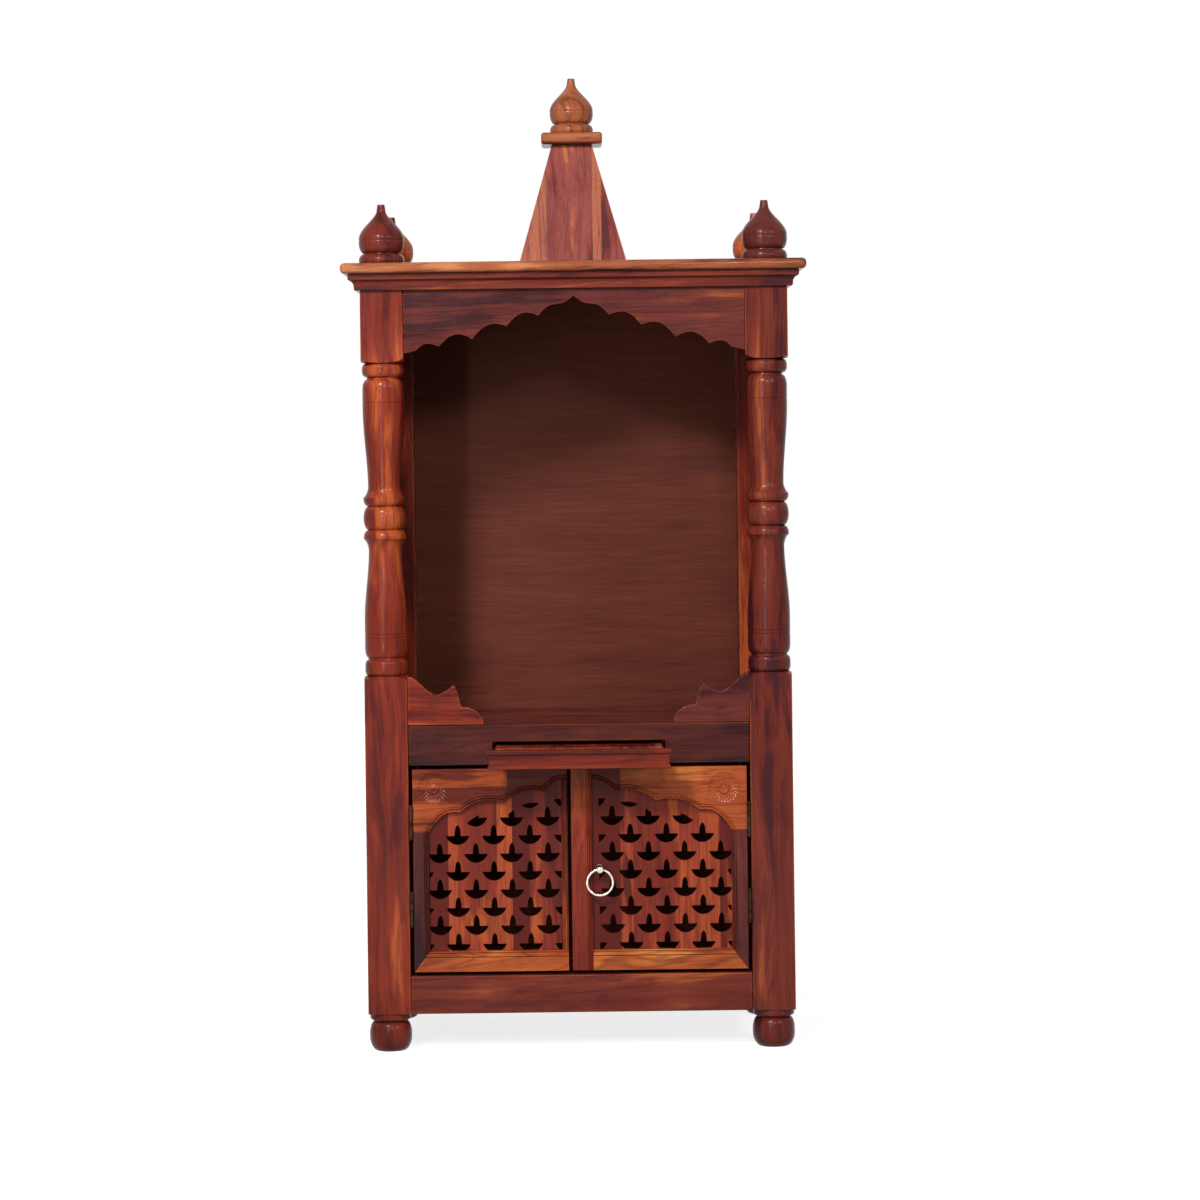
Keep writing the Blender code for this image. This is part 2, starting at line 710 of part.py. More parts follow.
def finial_profile(height):
    """A base roll, a neck, a round belly with a full shoulder, and a blunt spike."""
    neck_top = FINIAL_ROLL_H + FINIAL_NECK_H
    points = [(0.0, 0.0), (FINIAL_FOOT_R, 0.0)]
    points += quarter(points[-1], (FINIAL_R, FINIAL_ROLL_H / 3), True, 2)
    points += quarter(points[-1], (FINIAL_NECK_R, FINIAL_ROLL_H), False, 3)
    points += [(FINIAL_NECK_R, neck_top)]
    points += quarter(points[-1], (FINIAL_R, neck_top + FINIAL_BELLY_H), True, 3)
    points += ease(points[-1], (SPIKE_R, height - SPIKE_H), 7, FINIAL_LEAN)
    points += [(SPIKE_R, height), (0.0, height)]
    return points


def finials():
    turned("finial_top", finial_profile(TOP_FINIAL_H), LIGHT_WOOD, FINIAL_STEPS, (0.0, MIDDLE_Y, CAP_TOP + SEAT))
    for depth, y in (("front", POST_FRONT_Y), ("rear", POST_REAR_Y)):
        for side, x in (("left", -POST_X), ("right", POST_X)):
            place = (x, y, SLAB_TOP + SEAT)
            turned(f"finial_{depth}_{side}", finial_profile(CORNER_FINIAL_H), DARK_WOOD, FINIAL_STEPS, place)


def arch_edge(meeting_in, steps=5):
    """The scalloped edge of a door's top rail as (distance from the middle, height), outside in."""
    start = (STILE_IN, DOOR_TOP - ARCH_FOOT)
    peaks = placed(ARCH_PEAKS, STILE_IN, DOOR_TOP) + [(meeting_in, DOOR_TOP - ARCH_END)]
    return [start, *scallops(start, peaks, placed(ARCH_CUSPS, STILE_IN, DOOR_TOP), steps)]


def parallel_edge(edge, away, first, last, steps=36):
    """A line that keeps its distance from a scalloped edge: above it where away is positive, else below."""
    points = []
    for i in range(steps + 1):
        x = first + (last - first) * i / steps
        reached = [(x - u, z) for u, z in edge if abs(x - u) < abs(away)]
        heights = [z + math.copysign(math.sqrt(away**2 - gap**2), away) for gap, z in reached]
        points.append((x, max(heights) if away > 0 else min(heights)))
    return points


def lamp_outline(x, z):
    """A lamp bowl with its flame: z is the height of the bowl's rim."""
    radius = ((LAMP_W / 2) ** 2 + LAMP_H**2) / (2 * LAMP_H)
    half_turn = math.asin(LAMP_W / 2 / radius)
    centre = z - LAMP_H + radius
    points = []
    for i in range(6):
        turn = -half_turn + 2 * half_turn * i / 5
        points.append((x + radius * math.sin(turn), centre - radius * math.cos(turn)))
    shoulder = z + FLAME_H * FLAME_TIP_AT
    points += [(x + FLAME_W / 2, z), (x + FLAME_TIP_W / 2, shoulder), (x, z + FLAME_H)]
    points += [(x - FLAME_TIP_W / 2, shoulder), (x - FLAME_W / 2, z)]
    return points


def lamp_places(low, reach):
    """Middles and rim heights of the lamps, down to the height low and out to the distance reach."""
    places = []
    z, shifted = DOOR_TOP - LAMP_UNDER_TOP, True
    while z + FLAME_H > low:
        x = LAMP_FIRST_X - LAMP_PITCH_X / 2 if shifted else LAMP_FIRST_X
        while x - LAMP_W / 2 < reach:
            places.append((x, z))
            x += LAMP_PITCH_X
        z, shifted = z - LAMP_PITCH_Z, not shifted
    return places


def pierced_panel(side, sign, inner, meeting_in):
    """The door's panel with its lamps, clipped to the field under the arch."""
    low, high = RAIL_IN - REBATE + SEAT, DOOR_TOP - ARCH_HEAD_H - SEAT
    near, far = sorted((sign * inner, sign * (STILE_IN + REBATE - SEAT)))
    panel = box(f"door_{side}_panel", (near, PANEL_Y, low), (far, PANEL_Y + PANEL_T, high), LIGHT_WOOD)
    reach = STILE_IN - PIERCED_MARGIN
    edge = parallel_edge(arch_edge(meeting_in, 16), -PIERCED_UNDER_ARCH, PIERCED_IN, reach)
    field = [(PIERCED_IN, RAIL_IN), (reach, RAIL_IN), *reversed(edge)]
    outline = [(sign * x, z) for x, z in field]
    window = board(f"pierced_field_{side}", outline, 3 * PANEL_T, None, "Y", PANEL_Y - PANEL_T)
    for number, (x, z) in enumerate(lamp_places(RAIL_IN, reach)):
        outline = [(sign * u, v) for u, v in lamp_outline(x, z)]
        lamp = board(f"lamp_{side}_{number}", outline, 2 * PANEL_T, None, "Y", PANEL_Y - PANEL_T / 2)
        joined(lamp, window, "INTERSECT")
        settled(lamp)
        if lamp.data.polygons:
            joined(panel, lamp, "DIFFERENCE")
    return settled(panel)


def door_frame(side, sign, meeting_edge, meeting_w, rails_through):
    """Stiles, mitred bottom rail and arched top rail of one door, each with its rebate and band.

    meeting_edge is where the door ends at the middle, as a distance towards its own side. Where the
    rails run through, the meeting stile stands between them and is a plain band.
    """
    back = DOOR_Y + DOOR_T
    meeting_in = meeting_edge + meeting_w
    rebate_in = meeting_in - (REBATE_NARROW if rails_through else REBATE)
    rail_end = meeting_edge if rails_through else meeting_in + SEAT
    arch_low = DOOR_TOP - ARCH_FOOT

    def piece(name, a, b, z_low, z_high):
        near, far = sorted((sign * a, sign * b))
        return box(f"door_{side}_{name}", (near, DOOR_Y, z_low), (far, back, z_high), DARK_WOOD)

    def rebate(obj, a, b, z_low, z_high):
        near, far = sorted((sign * a, sign * b))
        cut(obj, obj.name + "_rebate", (near, DOOR_Y + DOOR_LIP, z_low), (far, back + PAST, z_high))

    def band(obj, a, b, z_low, z_high):
        near, far = sorted((sign * a, sign * b))
        cut(obj, obj.name + "_band", (near, DOOR_Y - PAST, z_low), (far, DOOR_Y + BAND_D, z_high))

    mitre = ((STILE_IN, RAIL_IN), (DOOR_EDGE, DOOR_LOW))
    stile = piece("outer_stile", STILE_IN, DOOR_EDGE, DOOR_LOW, arch_low - SEAT)
    rebate(stile, STILE_IN - PAST, STILE_IN + REBATE, DOOR_LOW, DOOR_TOP)
    band(stile, STILE_IN - PAST, STILE_IN + BAND_W, 0.0, DOOR_TOP)
    mitre_cut(stile, side, sign, *mitre, below=True)
    settled(stile)

    low, high = (RAIL_IN + SEAT, DOOR_TOP - ARCH_END - SEAT) if rails_through else (DOOR_LOW, DOOR_TOP)
    band_end = meeting_edge - PAST if rails_through else meeting_in - BAND_W
    meeting = piece("meeting_stile", meeting_edge, meeting_in, low, high)
    rebate(meeting, rebate_in, meeting_in + PAST, 0.0, DOOR_TOP + PAST)
    band(meeting, band_end, meeting_in + PAST, 0.0, DOOR_TOP + PAST)
    settled(meeting)

    rail = piece("bottom_rail", rail_end, DOOR_EDGE, DOOR_LOW, RAIL_IN)
    rebate(rail, rebate_in, DOOR_EDGE, RAIL_IN - REBATE, RAIL_IN + PAST)
    band(rail, rail_end - PAST, DOOR_EDGE, RAIL_IN - RAIL_BAND_W, RAIL_IN + PAST)
    mitre_cut(rail, side, sign, *mitre, below=False)
    settled(rail)

    edge = [*arch_edge(meeting_in), (rail_end, DOOR_TOP - ARCH_END)]
    outline = [(rail_end, DOOR_TOP), (DOOR_EDGE, DOOR_TOP), (DOOR_EDGE, arch_low), *edge]
    outline = [(sign * x, z) for x, z in outline]
    arch = board(f"door_{side}_arch_rail", outline, DOOR_T, DARK_WOOD, "Y", DOOR_Y)
    rebate(arch, rebate_in, STILE_IN + REBATE, 0.0, DOOR_TOP - ARCH_HEAD_H)
    run = rail_end - PAST - meeting_in
    fine = arch_edge(meeting_in, 16) + [(meeting_in + run * i / 12, DOOR_TOP - ARCH_END) for i in range(13)]
    upper = parallel_edge(fine, BAND_W, rail_end - BAND_W / 2, STILE_IN + BAND_W * 0.999)
    under = arch_low - PAST
    outline = [(sign * x, z) for x, z in ((upper[0][0], under), *upper, (upper[-1][0], under))]
    joined(arch, board(f"arch_band_{side}", outline, PAST, None, "Y", DOOR_Y + BAND_D - PAST), "DIFFERENCE")
    settled(arch)
    return rebate_in + SEAT, meeting_in


def mitre_cut(obj, side, sign, inner, outer, below):
    """Cuts away what lies below the line from inner to outer, or what lies above it."""
    reach = DOOR_RAIL_H + OUTER_STILE_W
    run = Vector((outer[0] - inner[0], outer[1] - inner[1])).normalized()
    rise = Vector((-run.y, run.x)) * (1 if below else -1)
    start = Vector(inner) + rise * SEAT / 2 - run * reach
    end = Vector(outer) + rise * SEAT / 2 + run * reach
    away = -rise * reach
    outline = [(sign * corner.x, corner.y) for corner in (start, end, end + away, start + away)]
    name = f"{obj.name}_mitre"
    joined(obj, board(name, outline, 3 * DOOR_T, None, "Y", DOOR_Y - DOOR_T), "DIFFERENCE")


def doors():
    """Two doors that meet left of the middle, the right one with the wider meeting stile."""
    widths = {"left": LEFT_MEETING_W, "right": RIGHT_MEETING_W}
    for side, sign in (("left", -1), ("right", 1)):
        meeting_edge = sign * MEETING_X + MOVE_GAP / 2
        narrow = widths[side] < 2 * BAND_W
        inner, meeting_in = door_frame(side, sign, meeting_edge, widths[side], narrow)
        pierced_panel(side, sign, inner, meeting_in)


def hinge_leaf(name, sign, middle, on_post):
    """One half of a butt hinge: a leaf in the gap beside the door, with its knuckles on the pin's line."""
    side = 1 if on_post else -1
    face = HINGE_X + side * (MOVE_GAP / 2 - SEAT)
    near, far = sorted((sign * face, sign * (face - side * LEAF_T)))
    low, high = middle - HINGE_L / 2, middle + HINGE_L / 2
    leaf = box(name, (near, Y_FRONT, low), (far, Y_FRONT + LEAF_W, high), BRASS)
    third = HINGE_L / 3
    for number in range(3):
        z_low, z_high = low + number * third, low + (number + 1) * third
        if (number == 1) == on_post:
            clear = PIN_R + KNUCKLE_GAP
            first = (sign * HINGE_X - clear, Y_FRONT - clear, z_low - KNUCKLE_GAP / 2)
            last = (sign * HINGE_X + clear, Y_FRONT + clear, z_high + KNUCKLE_GAP / 2)
            cut(leaf, f"{name}_relief_{number}", first, last)
            continue
        z_low, z_high = z_low + KNUCKLE_GAP / 2, z_high - KNUCKLE_GAP / 2
        profile = [(0.0, z_low), (PIN_R, z_low), (PIN_R, z_high), (0.0, z_high)]
        knuckle = turned(f"{name}_knuckle_{number}", profile, None, 12, (sign * HINGE_X, Y_FRONT, 0.0))
        joined(leaf, knuckle, "UNION")
    settled(leaf)


def hinges():
    """Two butt hinges a door, each of two leaves."""
    for side, sign in (("left", -1), ("right", 1)):
        for level, middle in zip(("upper", "lower"), HINGE_Z):
            hinge_leaf(f"hinge_{side}_{level}_post_leaf", sign, middle, True)
            hinge_leaf(f"hinge_{side}_{level}_door_leaf", sign, middle, False)


def ring_pull():
    """A ball on a stem, bored across for the ring that hangs in it."""
    ball = bpy.data.meshes.new("ring_pull_knob")
    shape = bmesh.new()
    bmesh.ops.create_uvsphere(shape, u_segments=16, v_segments=10, radius=KNOB_R)
    shape.to_mesh(ball)
    shape.free()
    knob = add_object("ring_pull_knob", ball, NICKEL)
    place = Matrix.Translation((PULL_X, KNOB_Y, PULL_Z))
    knob.matrix_world = place
    turn = Matrix.Rotation(math.pi / 2, 4, "X")
    length = PANEL_Y - SEAT - KNOB_Y
    start = KNOB_R - ROSE_T
    profile = [(0.0, start), (STEM_R, start), (STEM_R, length - ROSE_T)]
    profile += [(ROSE_R, length - ROSE_T), (ROSE_R, length), (0.0, length)]
    stem = turned("knob_stem", profile, None, 12)
    stem.matrix_world = place @ turn.inverted()
    joined(knob, stem, "UNION")
    reach = 2 * KNOB_R
    profile = [(0.0, -reach), (KNOB_HOLE_R, -reach), (KNOB_HOLE_R, reach), (0.0, reach)]
    bore = turned("knob_bore", profile, None, 12)
    bore.matrix_world = place @ Matrix.Rotation(math.pi / 2, 4, "Y")
    joined(knob, bore, "DIFFERENCE")
    smooth(settled(knob))

    bpy.ops.mesh.primitive_torus_add(
        major_segments=26, minor_segments=8, major_radius=RING_CENTRE_R, minor_radius=WIRE_R
    )
    ring = bpy.context.object
    ring.name = "pull_ring"
    ring.data.materials.append(NICKEL)
    for owner in list(ring.users_collection):
        owner.objects.unlink(ring)
    PARTS.objects.link(ring)
    ring.matrix_world = Matrix.Translation((PULL_X, KNOB_Y, PULL_Z - RING_CENTRE_R)) @ turn
    smooth(ring, 60)


def tray():
    """A flat board with a moulded front that slides on two runners under the shelf."""
    front = Y_FRONT - TRAY_OUT
    back = front + TRAY_LIP_OUT + TRAY_FRONT_T
    half, top = TRAY_FRONT_W / 2, TRAY_TOP - TRAY_FRONT_DROP
    low = top - TRAY_FRONT_H
    face = box("tray_front", (-half, front + TRAY_LIP_OUT, low), (half, back, top), LIGHT_WOOD)
    lips = (
        ("upper", TRAY_LIP_OUT, top - TRAY_LIP_H, top, TRAY_LIP_ROUND),
        ("lower", TRAY_LOW_LIP_OUT, low, low + TRAY_LOW_LIP_H, TRAY_LOW_LIP_ROUND),
    )
    for name, out, z_low, z_high, edge in lips:
        first = (-half - out, front + TRAY_LIP_OUT - out, z_low)
        joined(face, box(f"tray_{name}_lip", first, (half + out, back, z_high), None, edge), "UNION")
    settled(face)

    half = TRAY_W / 2
    start = back + SEAT
    board_low = TRAY_TOP - TRAY_T
    box("tray_board", (-half, start, board_low), (half, start + TRAY_L, TRAY_TOP), DARK_WOOD)

    ledge_top = board_low - SEAT
    runner_low = ledge_top - RUNNER_LEDGE_T
    runner_top = SHELF_TOP - SHELF_T - SEAT
    outer = half + RUNNER_PLAY + RUNNER_W
    inner = half - RUNNER_LEDGE
    for side, sign in (("left", -1), ("right", 1)):
        points = [(inner, runner_low), (outer, runner_low), (outer, runner_top)]
        points += [(half + RUNNER_PLAY, runner_top), (half + RUNNER_PLAY, ledge_top), (inner, ledge_top)]
        outline = [(sign * x, z) for x, z in points]
        board(f"tray_runner_{side}", outline, RUNNER_L, DARK_WOOD, "Y", BOARD_FRONT_Y)


posts()
front_rails()
boards()
side_panels()
back_panel()
niche_head()
brackets()
cornice()
top_board()
tower()
finials()
doors()
hinges()
ring_pull()
tray()
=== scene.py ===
# %% [markdown]
# # A pooja mandir
# This notebook dresses the plain solids of a home temple cabinet. On the real object every visible
# part is solid sheesham, stained and lacquered, apart from the veneered back, four small brass hinges
# and a nickel ring pull. Loading the frame first fixes every size and place, so that each later cell
# only has to answer what a surface looks like and never where it is.

# %% Load the fixed frame
import json
import math

import bmesh
import bpy
from mathutils import Matrix, Vector

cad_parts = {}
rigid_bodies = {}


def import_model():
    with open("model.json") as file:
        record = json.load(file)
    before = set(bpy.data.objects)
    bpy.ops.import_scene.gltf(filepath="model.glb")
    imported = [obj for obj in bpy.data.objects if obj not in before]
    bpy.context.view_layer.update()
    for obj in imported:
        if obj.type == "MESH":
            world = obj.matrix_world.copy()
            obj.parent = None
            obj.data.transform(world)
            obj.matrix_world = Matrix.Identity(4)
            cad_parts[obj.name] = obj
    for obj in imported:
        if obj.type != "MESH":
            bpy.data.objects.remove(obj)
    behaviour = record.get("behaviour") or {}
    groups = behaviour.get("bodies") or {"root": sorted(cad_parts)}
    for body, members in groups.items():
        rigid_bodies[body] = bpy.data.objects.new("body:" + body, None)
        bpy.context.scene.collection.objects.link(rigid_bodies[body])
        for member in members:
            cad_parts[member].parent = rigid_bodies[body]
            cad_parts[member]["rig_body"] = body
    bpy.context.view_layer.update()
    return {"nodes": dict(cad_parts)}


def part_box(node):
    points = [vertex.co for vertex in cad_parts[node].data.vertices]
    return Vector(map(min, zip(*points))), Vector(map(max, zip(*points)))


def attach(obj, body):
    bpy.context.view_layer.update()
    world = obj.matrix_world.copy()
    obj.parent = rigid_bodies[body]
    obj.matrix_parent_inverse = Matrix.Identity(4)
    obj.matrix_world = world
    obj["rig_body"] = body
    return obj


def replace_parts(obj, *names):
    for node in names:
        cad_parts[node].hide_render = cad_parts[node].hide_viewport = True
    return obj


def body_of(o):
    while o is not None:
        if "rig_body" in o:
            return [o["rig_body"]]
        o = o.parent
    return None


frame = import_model()
MM = 0.001

# %% [markdown]
# ## Two helpers for node trees
# Colours are written the way a colour picker shows them, as sRGB hex, and turned into the linear
# numbers that a shader works with. One helper adds any node with its settings and links, so that
# each material or geometry tree below reads as a list of what it is made of.

# %% Colour and node helpers
def linear(hex_colour):
    """An sRGB hex colour as linear red, green, blue and alpha."""
    parts = [int(hex_colour[i : i + 2], 16) / 255 for i in (1, 3, 5)]
    return (*(c / 12.92 if c <= 0.04045 else ((c + 0.055) / 1.055) ** 2.4 for c in parts), 1.0)


def add_node(tree, kind, inputs=None, **settings):
    """A node with its settings, its input values and its links."""
    made = tree.nodes.new(kind)
    for name, value in settings.items():
        setattr(made, name, value)
    for key, value in (inputs or {}).items():
        if isinstance(value, bpy.types.NodeSocket):
            tree.links.new(value, made.inputs[key])
        else:
            made.inputs[key].default_value = value
    return made


def new_material(name):
    """An empty material and its tree."""
    made = bpy.data.materials.new(name)
    made.use_nodes = True
    made.node_tree.nodes.clear()
    return made, made.node_tree


print("linear mid grey", round(linear("#808080")[0], 3))

# %% [markdown]
# ## Sheesham
# Sheesham is Indian rosewood: red-brown heartwood, with purple-black figure and honey streaks. The
# figure is what is left of the tree's rings where the saw has cut them. So the pattern starts from
# the distance to a pith that lies outside the board, bent by a slow noise as real rings are, and a
# second noise is read along that distance, which gives bands of uneven width that a sine wave never
# would. Streaks and fibres stretched along the grain lie over it. Two masks with a quick edge turn
# some bands almost black and others to honey, as the sapwood is. Every board gets its own pith.

# %% Stains and the figure's sizes
TURNS = {"Z": (0.0, 0.0, 0.0), "X": (0.0, math.pi / 2, 0.0), "Y": (math.pi / 2, 0.0, 0.0)}
WANDER_MM = 80.0  # over this distance the rings wander
BEND_MM = 20.0  # and so far
BAND_MM = 24.0  # mean width of the colour bands across the rings
VEIN_MM = 9.0  # the dark lines that end a year's growth
# Noises stretched along the grain: width in mm, length as a share of it, and detail. Fibres and open
# pores are 0.2 mm wide in real sheesham, too fine to show, so both are drawn coarser than life.
STRETCHED = {
    "zone": (60.0, 0.30, 3.0),
    "streak": (7.0, 0.03, 4.0),
    "fibre": (1.5, 0.012, 2.0),
    "pore": (1.1, 0.07, 0.0),
}

# Each stain: five tones from dark to light, the black figure, the honey streak, and the share of each.
STAINS = {
    "red": (("#55170f", "#651e13", "#752818", "#84311f", "#9a4224"), "#471513", "#a94f24", 0.10, 0.11),
    "brown": (("#4a1711", "#581d15", "#66251a", "#743020", "#884126"), "#351318", "#9a4b22", 0.13, 0.07),
    "plum": (("#431613", "#4e1c18", "#592420", "#662b20", "#773624"), "#321318", "#8a4422", 0.14, 0.07),
    # Dark stain: on the shelf rail and the left door's outer stile; partly their own tone, partly painted
    # shade that makes the lower boards darker.
    "dark": (("#34100e", "#3e1512", "#481b17", "#53231a", "#62301e"), "#260d10", "#7a3c20", 0.12, 0.05),
    "honey": (("#7c2f15", "#8f3d1c", "#9f4a23", "#ad562a", "#bb6532"), "#401414", "#c67c3c", 0.10, 0.12),
    "tan": (("#72351e", "#824227", "#914e2f", "#9e5a39", "#ab6846"), "#401814", "#ba764a", 0.10, 0.12),
    "heart": (("#7c2f15", "#8f3d1c", "#9f4a23", "#ad562a", "#bb6532"), "#4c1410", "#c67c3c", 0.27, 0.10),
    "rose": (("#672b22", "#753329", "#82403a", "#8d493c", "#9b5841"), "#4a1f22", "#b5652f", 0.06, 0.06),
}
# The darkest staves: on the panels their own tone, on the arch rails partly painted shadow of the tray.
STAVE_AND_SHADOW_BLACK = "#56130c"  # staves of the darkest tone
# What lies over the tones, in order: how strong it is, and its colour.
OVER = (("light", 0.8, "honey"), ("dark", 0.8, "black"), ("stave", 0.85, "stave"))
# The last row lightens eased edges towards honey: partly stain thinned by use, partly a painted highlight.
OVER += (("vein", 0.45, "black"), ("pore", 0.25, "black"), ("worn", 0.55, "honey"))
print(len(STAINS), "stains")

# %% A board and its grain
def board_in_tree(tree, place, grain, seed):
    """Where a board lay in its tree: turned to its grain, its pith 50 to 110 mm away, tilted a little."""
    turned = add_node(tree, "ShaderNodeMapping", {"Vector": place, "Rotation": TURNS[grain]}).outputs[0]
    angle = seed * 2.4
    away = 0.05 + 0.06 * (seed * 0.618 % 1)
    pith = (away * math.cos(angle), away * math.sin(angle), seed * 0.37)
    tilt = (math.radians(1.0 + seed % 3), math.radians(0.6 + seed % 2), 0.0)
    where = {"Vector": turned, "Location": pith, "Rotation": tilt}
    return add_node(tree, "ShaderNodeMapping", where).outputs[0]


def stave_tones(tree, place, staves, left):
    """A stepped ramp over a width that is glued up from staves of (width in mm, tone)."""
    across = add_node(tree, "ShaderNodeSeparateXYZ", {0: place}).outputs[0]
    width = sum(w for w, _ in staves) * MM
    limits = {"Value": across, "From Min": left, "From Max": left + width}
    share = add_node(tree, "ShaderNodeMapRange", limits).outputs[0]
    ramp = add_node(tree, "ShaderNodeValToRGB", {"Fac": share})
    ramp.color_ramp.interpolation = "CONSTANT"
    elements = ramp.color_ramp.elements
    start = 0.0
    for number, (stave_mm, tone) in enumerate(staves):
        element = elements[number] if number < 2 else elements.new(start)
        element.position = start
        element.color = (tone, tone, tone, 1.0)
        start += stave_mm * MM / width
    return ramp.outputs[0]


def bent_board(tree, board):
    """The board's places, bent by a slow noise as the rings of a tree are."""
    slow = add_node(tree, "ShaderNodeMapping", {"Vector": board, "Scale": (1.0, 1.0, 0.22)}).outputs[0]
    noise = {"Vector": slow, "Scale": 1 / (WANDER_MM * MM), "Detail": 2.0}
    wander = add_node(tree, "ShaderNodeTexNoise", noise).outputs["Color"]
    offset = {0: wander, 1: (0.5, 0.5, 0.5)}
    offset = add_node(tree, "ShaderNodeVectorMath", offset, operation="SUBTRACT").outputs[0]
    bend = {0: offset, 1: (2 * BEND_MM * MM,) * 3, 2: board}
    return add_node(tree, "ShaderNodeVectorMath", bend, operation="MULTIPLY_ADD").outputs[0]


def grain_of(tree, board):
    """The rings' figure and veins, and the noises from broad zones to pores."""
    bent = bent_board(tree, board)
    flat = {0: bent, 1: (1.0, 1.0, 0.0)}
    flat = add_node(tree, "ShaderNodeVectorMath", flat, operation="MULTIPLY").outputs[0]
    reach = add_node(tree, "ShaderNodeVectorMath", {0: flat}, operation="LENGTH").outputs["Value"]
    spot = add_node(tree, "ShaderNodeSeparateXYZ", {0: bent}).outputs
    # The noise is read quickly across the rings, and slowly round the trunk and along it.
    rings = {}
    for axis, value, scale in ((0, reach, 1 / (BAND_MM * MM)), (1, spot[0], 6.0), (2, spot[2], 2.2)):
        scaled = add_node(tree, "ShaderNodeMath", {0: value, 1: scale}, operation="MULTIPLY")
        rings[axis] = scaled.outputs[0]
    rings = add_node(tree, "ShaderNodeCombineXYZ", rings).outputs[0]
    grains = {}
    for part, scale, detail in (("figure", 1.0, 4.0), ("vein", BAND_MM / VEIN_MM, 2.0)):
        noise = {"Vector": rings, "Scale": scale, "Detail": detail}
        grains[part] = add_node(tree, "ShaderNodeTexNoise", noise).outputs["Fac"]
    for part, (width, stretch, detail) in STRETCHED.items():
        long = {"Vector": bent, "Scale": (1.0, 1.0, stretch)}
        long = add_node(tree, "ShaderNodeMapping", long).outputs[0]
        noise = {"Vector": long, "Scale": 1 / (width * MM), "Detail": detail, "Roughness": 0.55}
        grains[part] = add_node(tree, "ShaderNodeTexNoise", noise).outputs["Fac"]
    return grains


def weighed(tree, grains, shares):
    """Some of the grain's noises added up, each with its share."""
    total = 0.0
    for part, share in shares:
        inputs = {0: grains[part], 1: share, 2: total}
        total = add_node(tree, "ShaderNodeMath", inputs, operation="MULTIPLY_ADD").outputs[0]
    return total


print("a board, its staves and its grain")

# %% Tones, figure and lacquer
def wood_tones(tree, grains, tones, stave):
    """The board's ground colour: its noises added up, and read on a ramp of five tones."""
    shares = (("figure", 0.50), ("zone", 0.55), ("streak", 0.28), ("fibre", 0.14))
    limits = {"Value": weighed(tree, grains, shares), "From Min": 0.56, "From Max": 0.91}
    tone = add_node(tree, "ShaderNodeMapRange", limits).outputs["Result"]
    if stave is not None:
        tone = {0: stave, 1: 1.3, 2: tone}
        tone = add_node(tree, "ShaderNodeMath", tone, operation="MULTIPLY_ADD").outputs[0]
        tone = add_node(tree, "ShaderNodeMath", {0: tone, 1: 0.60}, operation="SUBTRACT").outputs[0]
    ramp = add_node(tree, "ShaderNodeValToRGB", {"Fac": tone})
    elements = ramp.color_ramp.elements
    for number, colour in enumerate(tones):
        at = number / (len(tones) - 1)
        element = elements[number] if number < 2 else elements.new(at)
        element.position = at
        element.color = linear(colour)
    return ramp.outputs["Color"]


def wood_masks(tree, grains, black_share, honey_share, stave):
    """Where the wood is black or honey, where its veins and pores are, and where its eased edges are
    lighter, partly from wear and partly as a painted highlight.
    """
    # A band turns black or honey where figure and zone add up low or high; the share sets how often.
    both = weighed(tree, grains, (("figure", 1.0), ("zone", 0.9), ("streak", 0.25)))
    low = 1.075 - 0.34 * (0.5 - black_share)
    high = 1.075 + 0.34 * (0.5 - honey_share)
    # A dark vein runs wherever its noise crosses the middle value, so the veins are wavy lines.
    vein = add_node(tree, "ShaderNodeMath", {0: grains["vein"], 1: 0.5}, operation="SUBTRACT").outputs[0]
    vein = add_node(tree, "ShaderNodeMath", {0: vein}, operation="ABSOLUTE").outputs[0]
    limits = {
        "light": (both, high - 0.04, high + 0.08),
        "dark": (both, low + 0.03, low - 0.04),
        "vein": (vein, 0.055, 0.0),
        "pore": (grains["pore"], 0.60, 0.72),
        "worn": (grains["streak"], 0.30, 0.65),
    }
    if stave is not None:
        limits["stave"] = (stave, 0.10, 0.02)
    masks = {}
    for part, (value, start, end) in limits.items():
        step = {"Value": value, "From Min": start, "From Max": end}
        step = add_node(tree, "ShaderNodeMapRange", step, interpolation_type="SMOOTHSTEP")
        masks[part] = step.outputs["Result"]
    # Eased edges turn towards honey: partly stain thinned by use, partly a painted highlight along them.
    edges = add_node(tree, "ShaderNodeAttribute", attribute_name="worn").outputs["Fac"]
    edge_wear_and_sheen = {0: edges, 1: masks["worn"]}
    masks["worn"] = add_node(tree, "ShaderNodeMath", edge_wear_and_sheen, operation="MULTIPLY").outputs[0]
    return masks


def lacquered(tree, place, grains, pores, gloss):
    """How rough the lacquer is, a little duller where hands have been, and how it follows the pores."""
    hands = {"Vector": place, "Scale": 1 / (35 * MM), "Detail": 3.0}
    hands = add_node(tree, "ShaderNodeTexNoise", hands).outputs["Fac"]
    dull = {0: grains["streak"], 1: 0.5, 2: hands}
    dull = add_node(tree, "ShaderNodeMath", dull, operation="MULTIPLY_ADD").outputs[0]
    limits = {"Value": dull, "From Min": 0.55, "From Max": 0.95}
    limits |= {"To Min": gloss - 0.05, "To Max": gloss + 0.10}
    rough = add_node(tree, "ShaderNodeMapRange", limits).outputs["Result"]
    height = {0: pores, 1: -0.6, 2: grains["fibre"]}
    height = add_node(tree, "ShaderNodeMath", height, operation="MULTIPLY_ADD").outputs[0]
    bump = add_node(tree, "ShaderNodeBump", {"Height": height, "Strength": 0.22, "Distance": 0.35 * MM})
    return rough, bump.outputs[0]


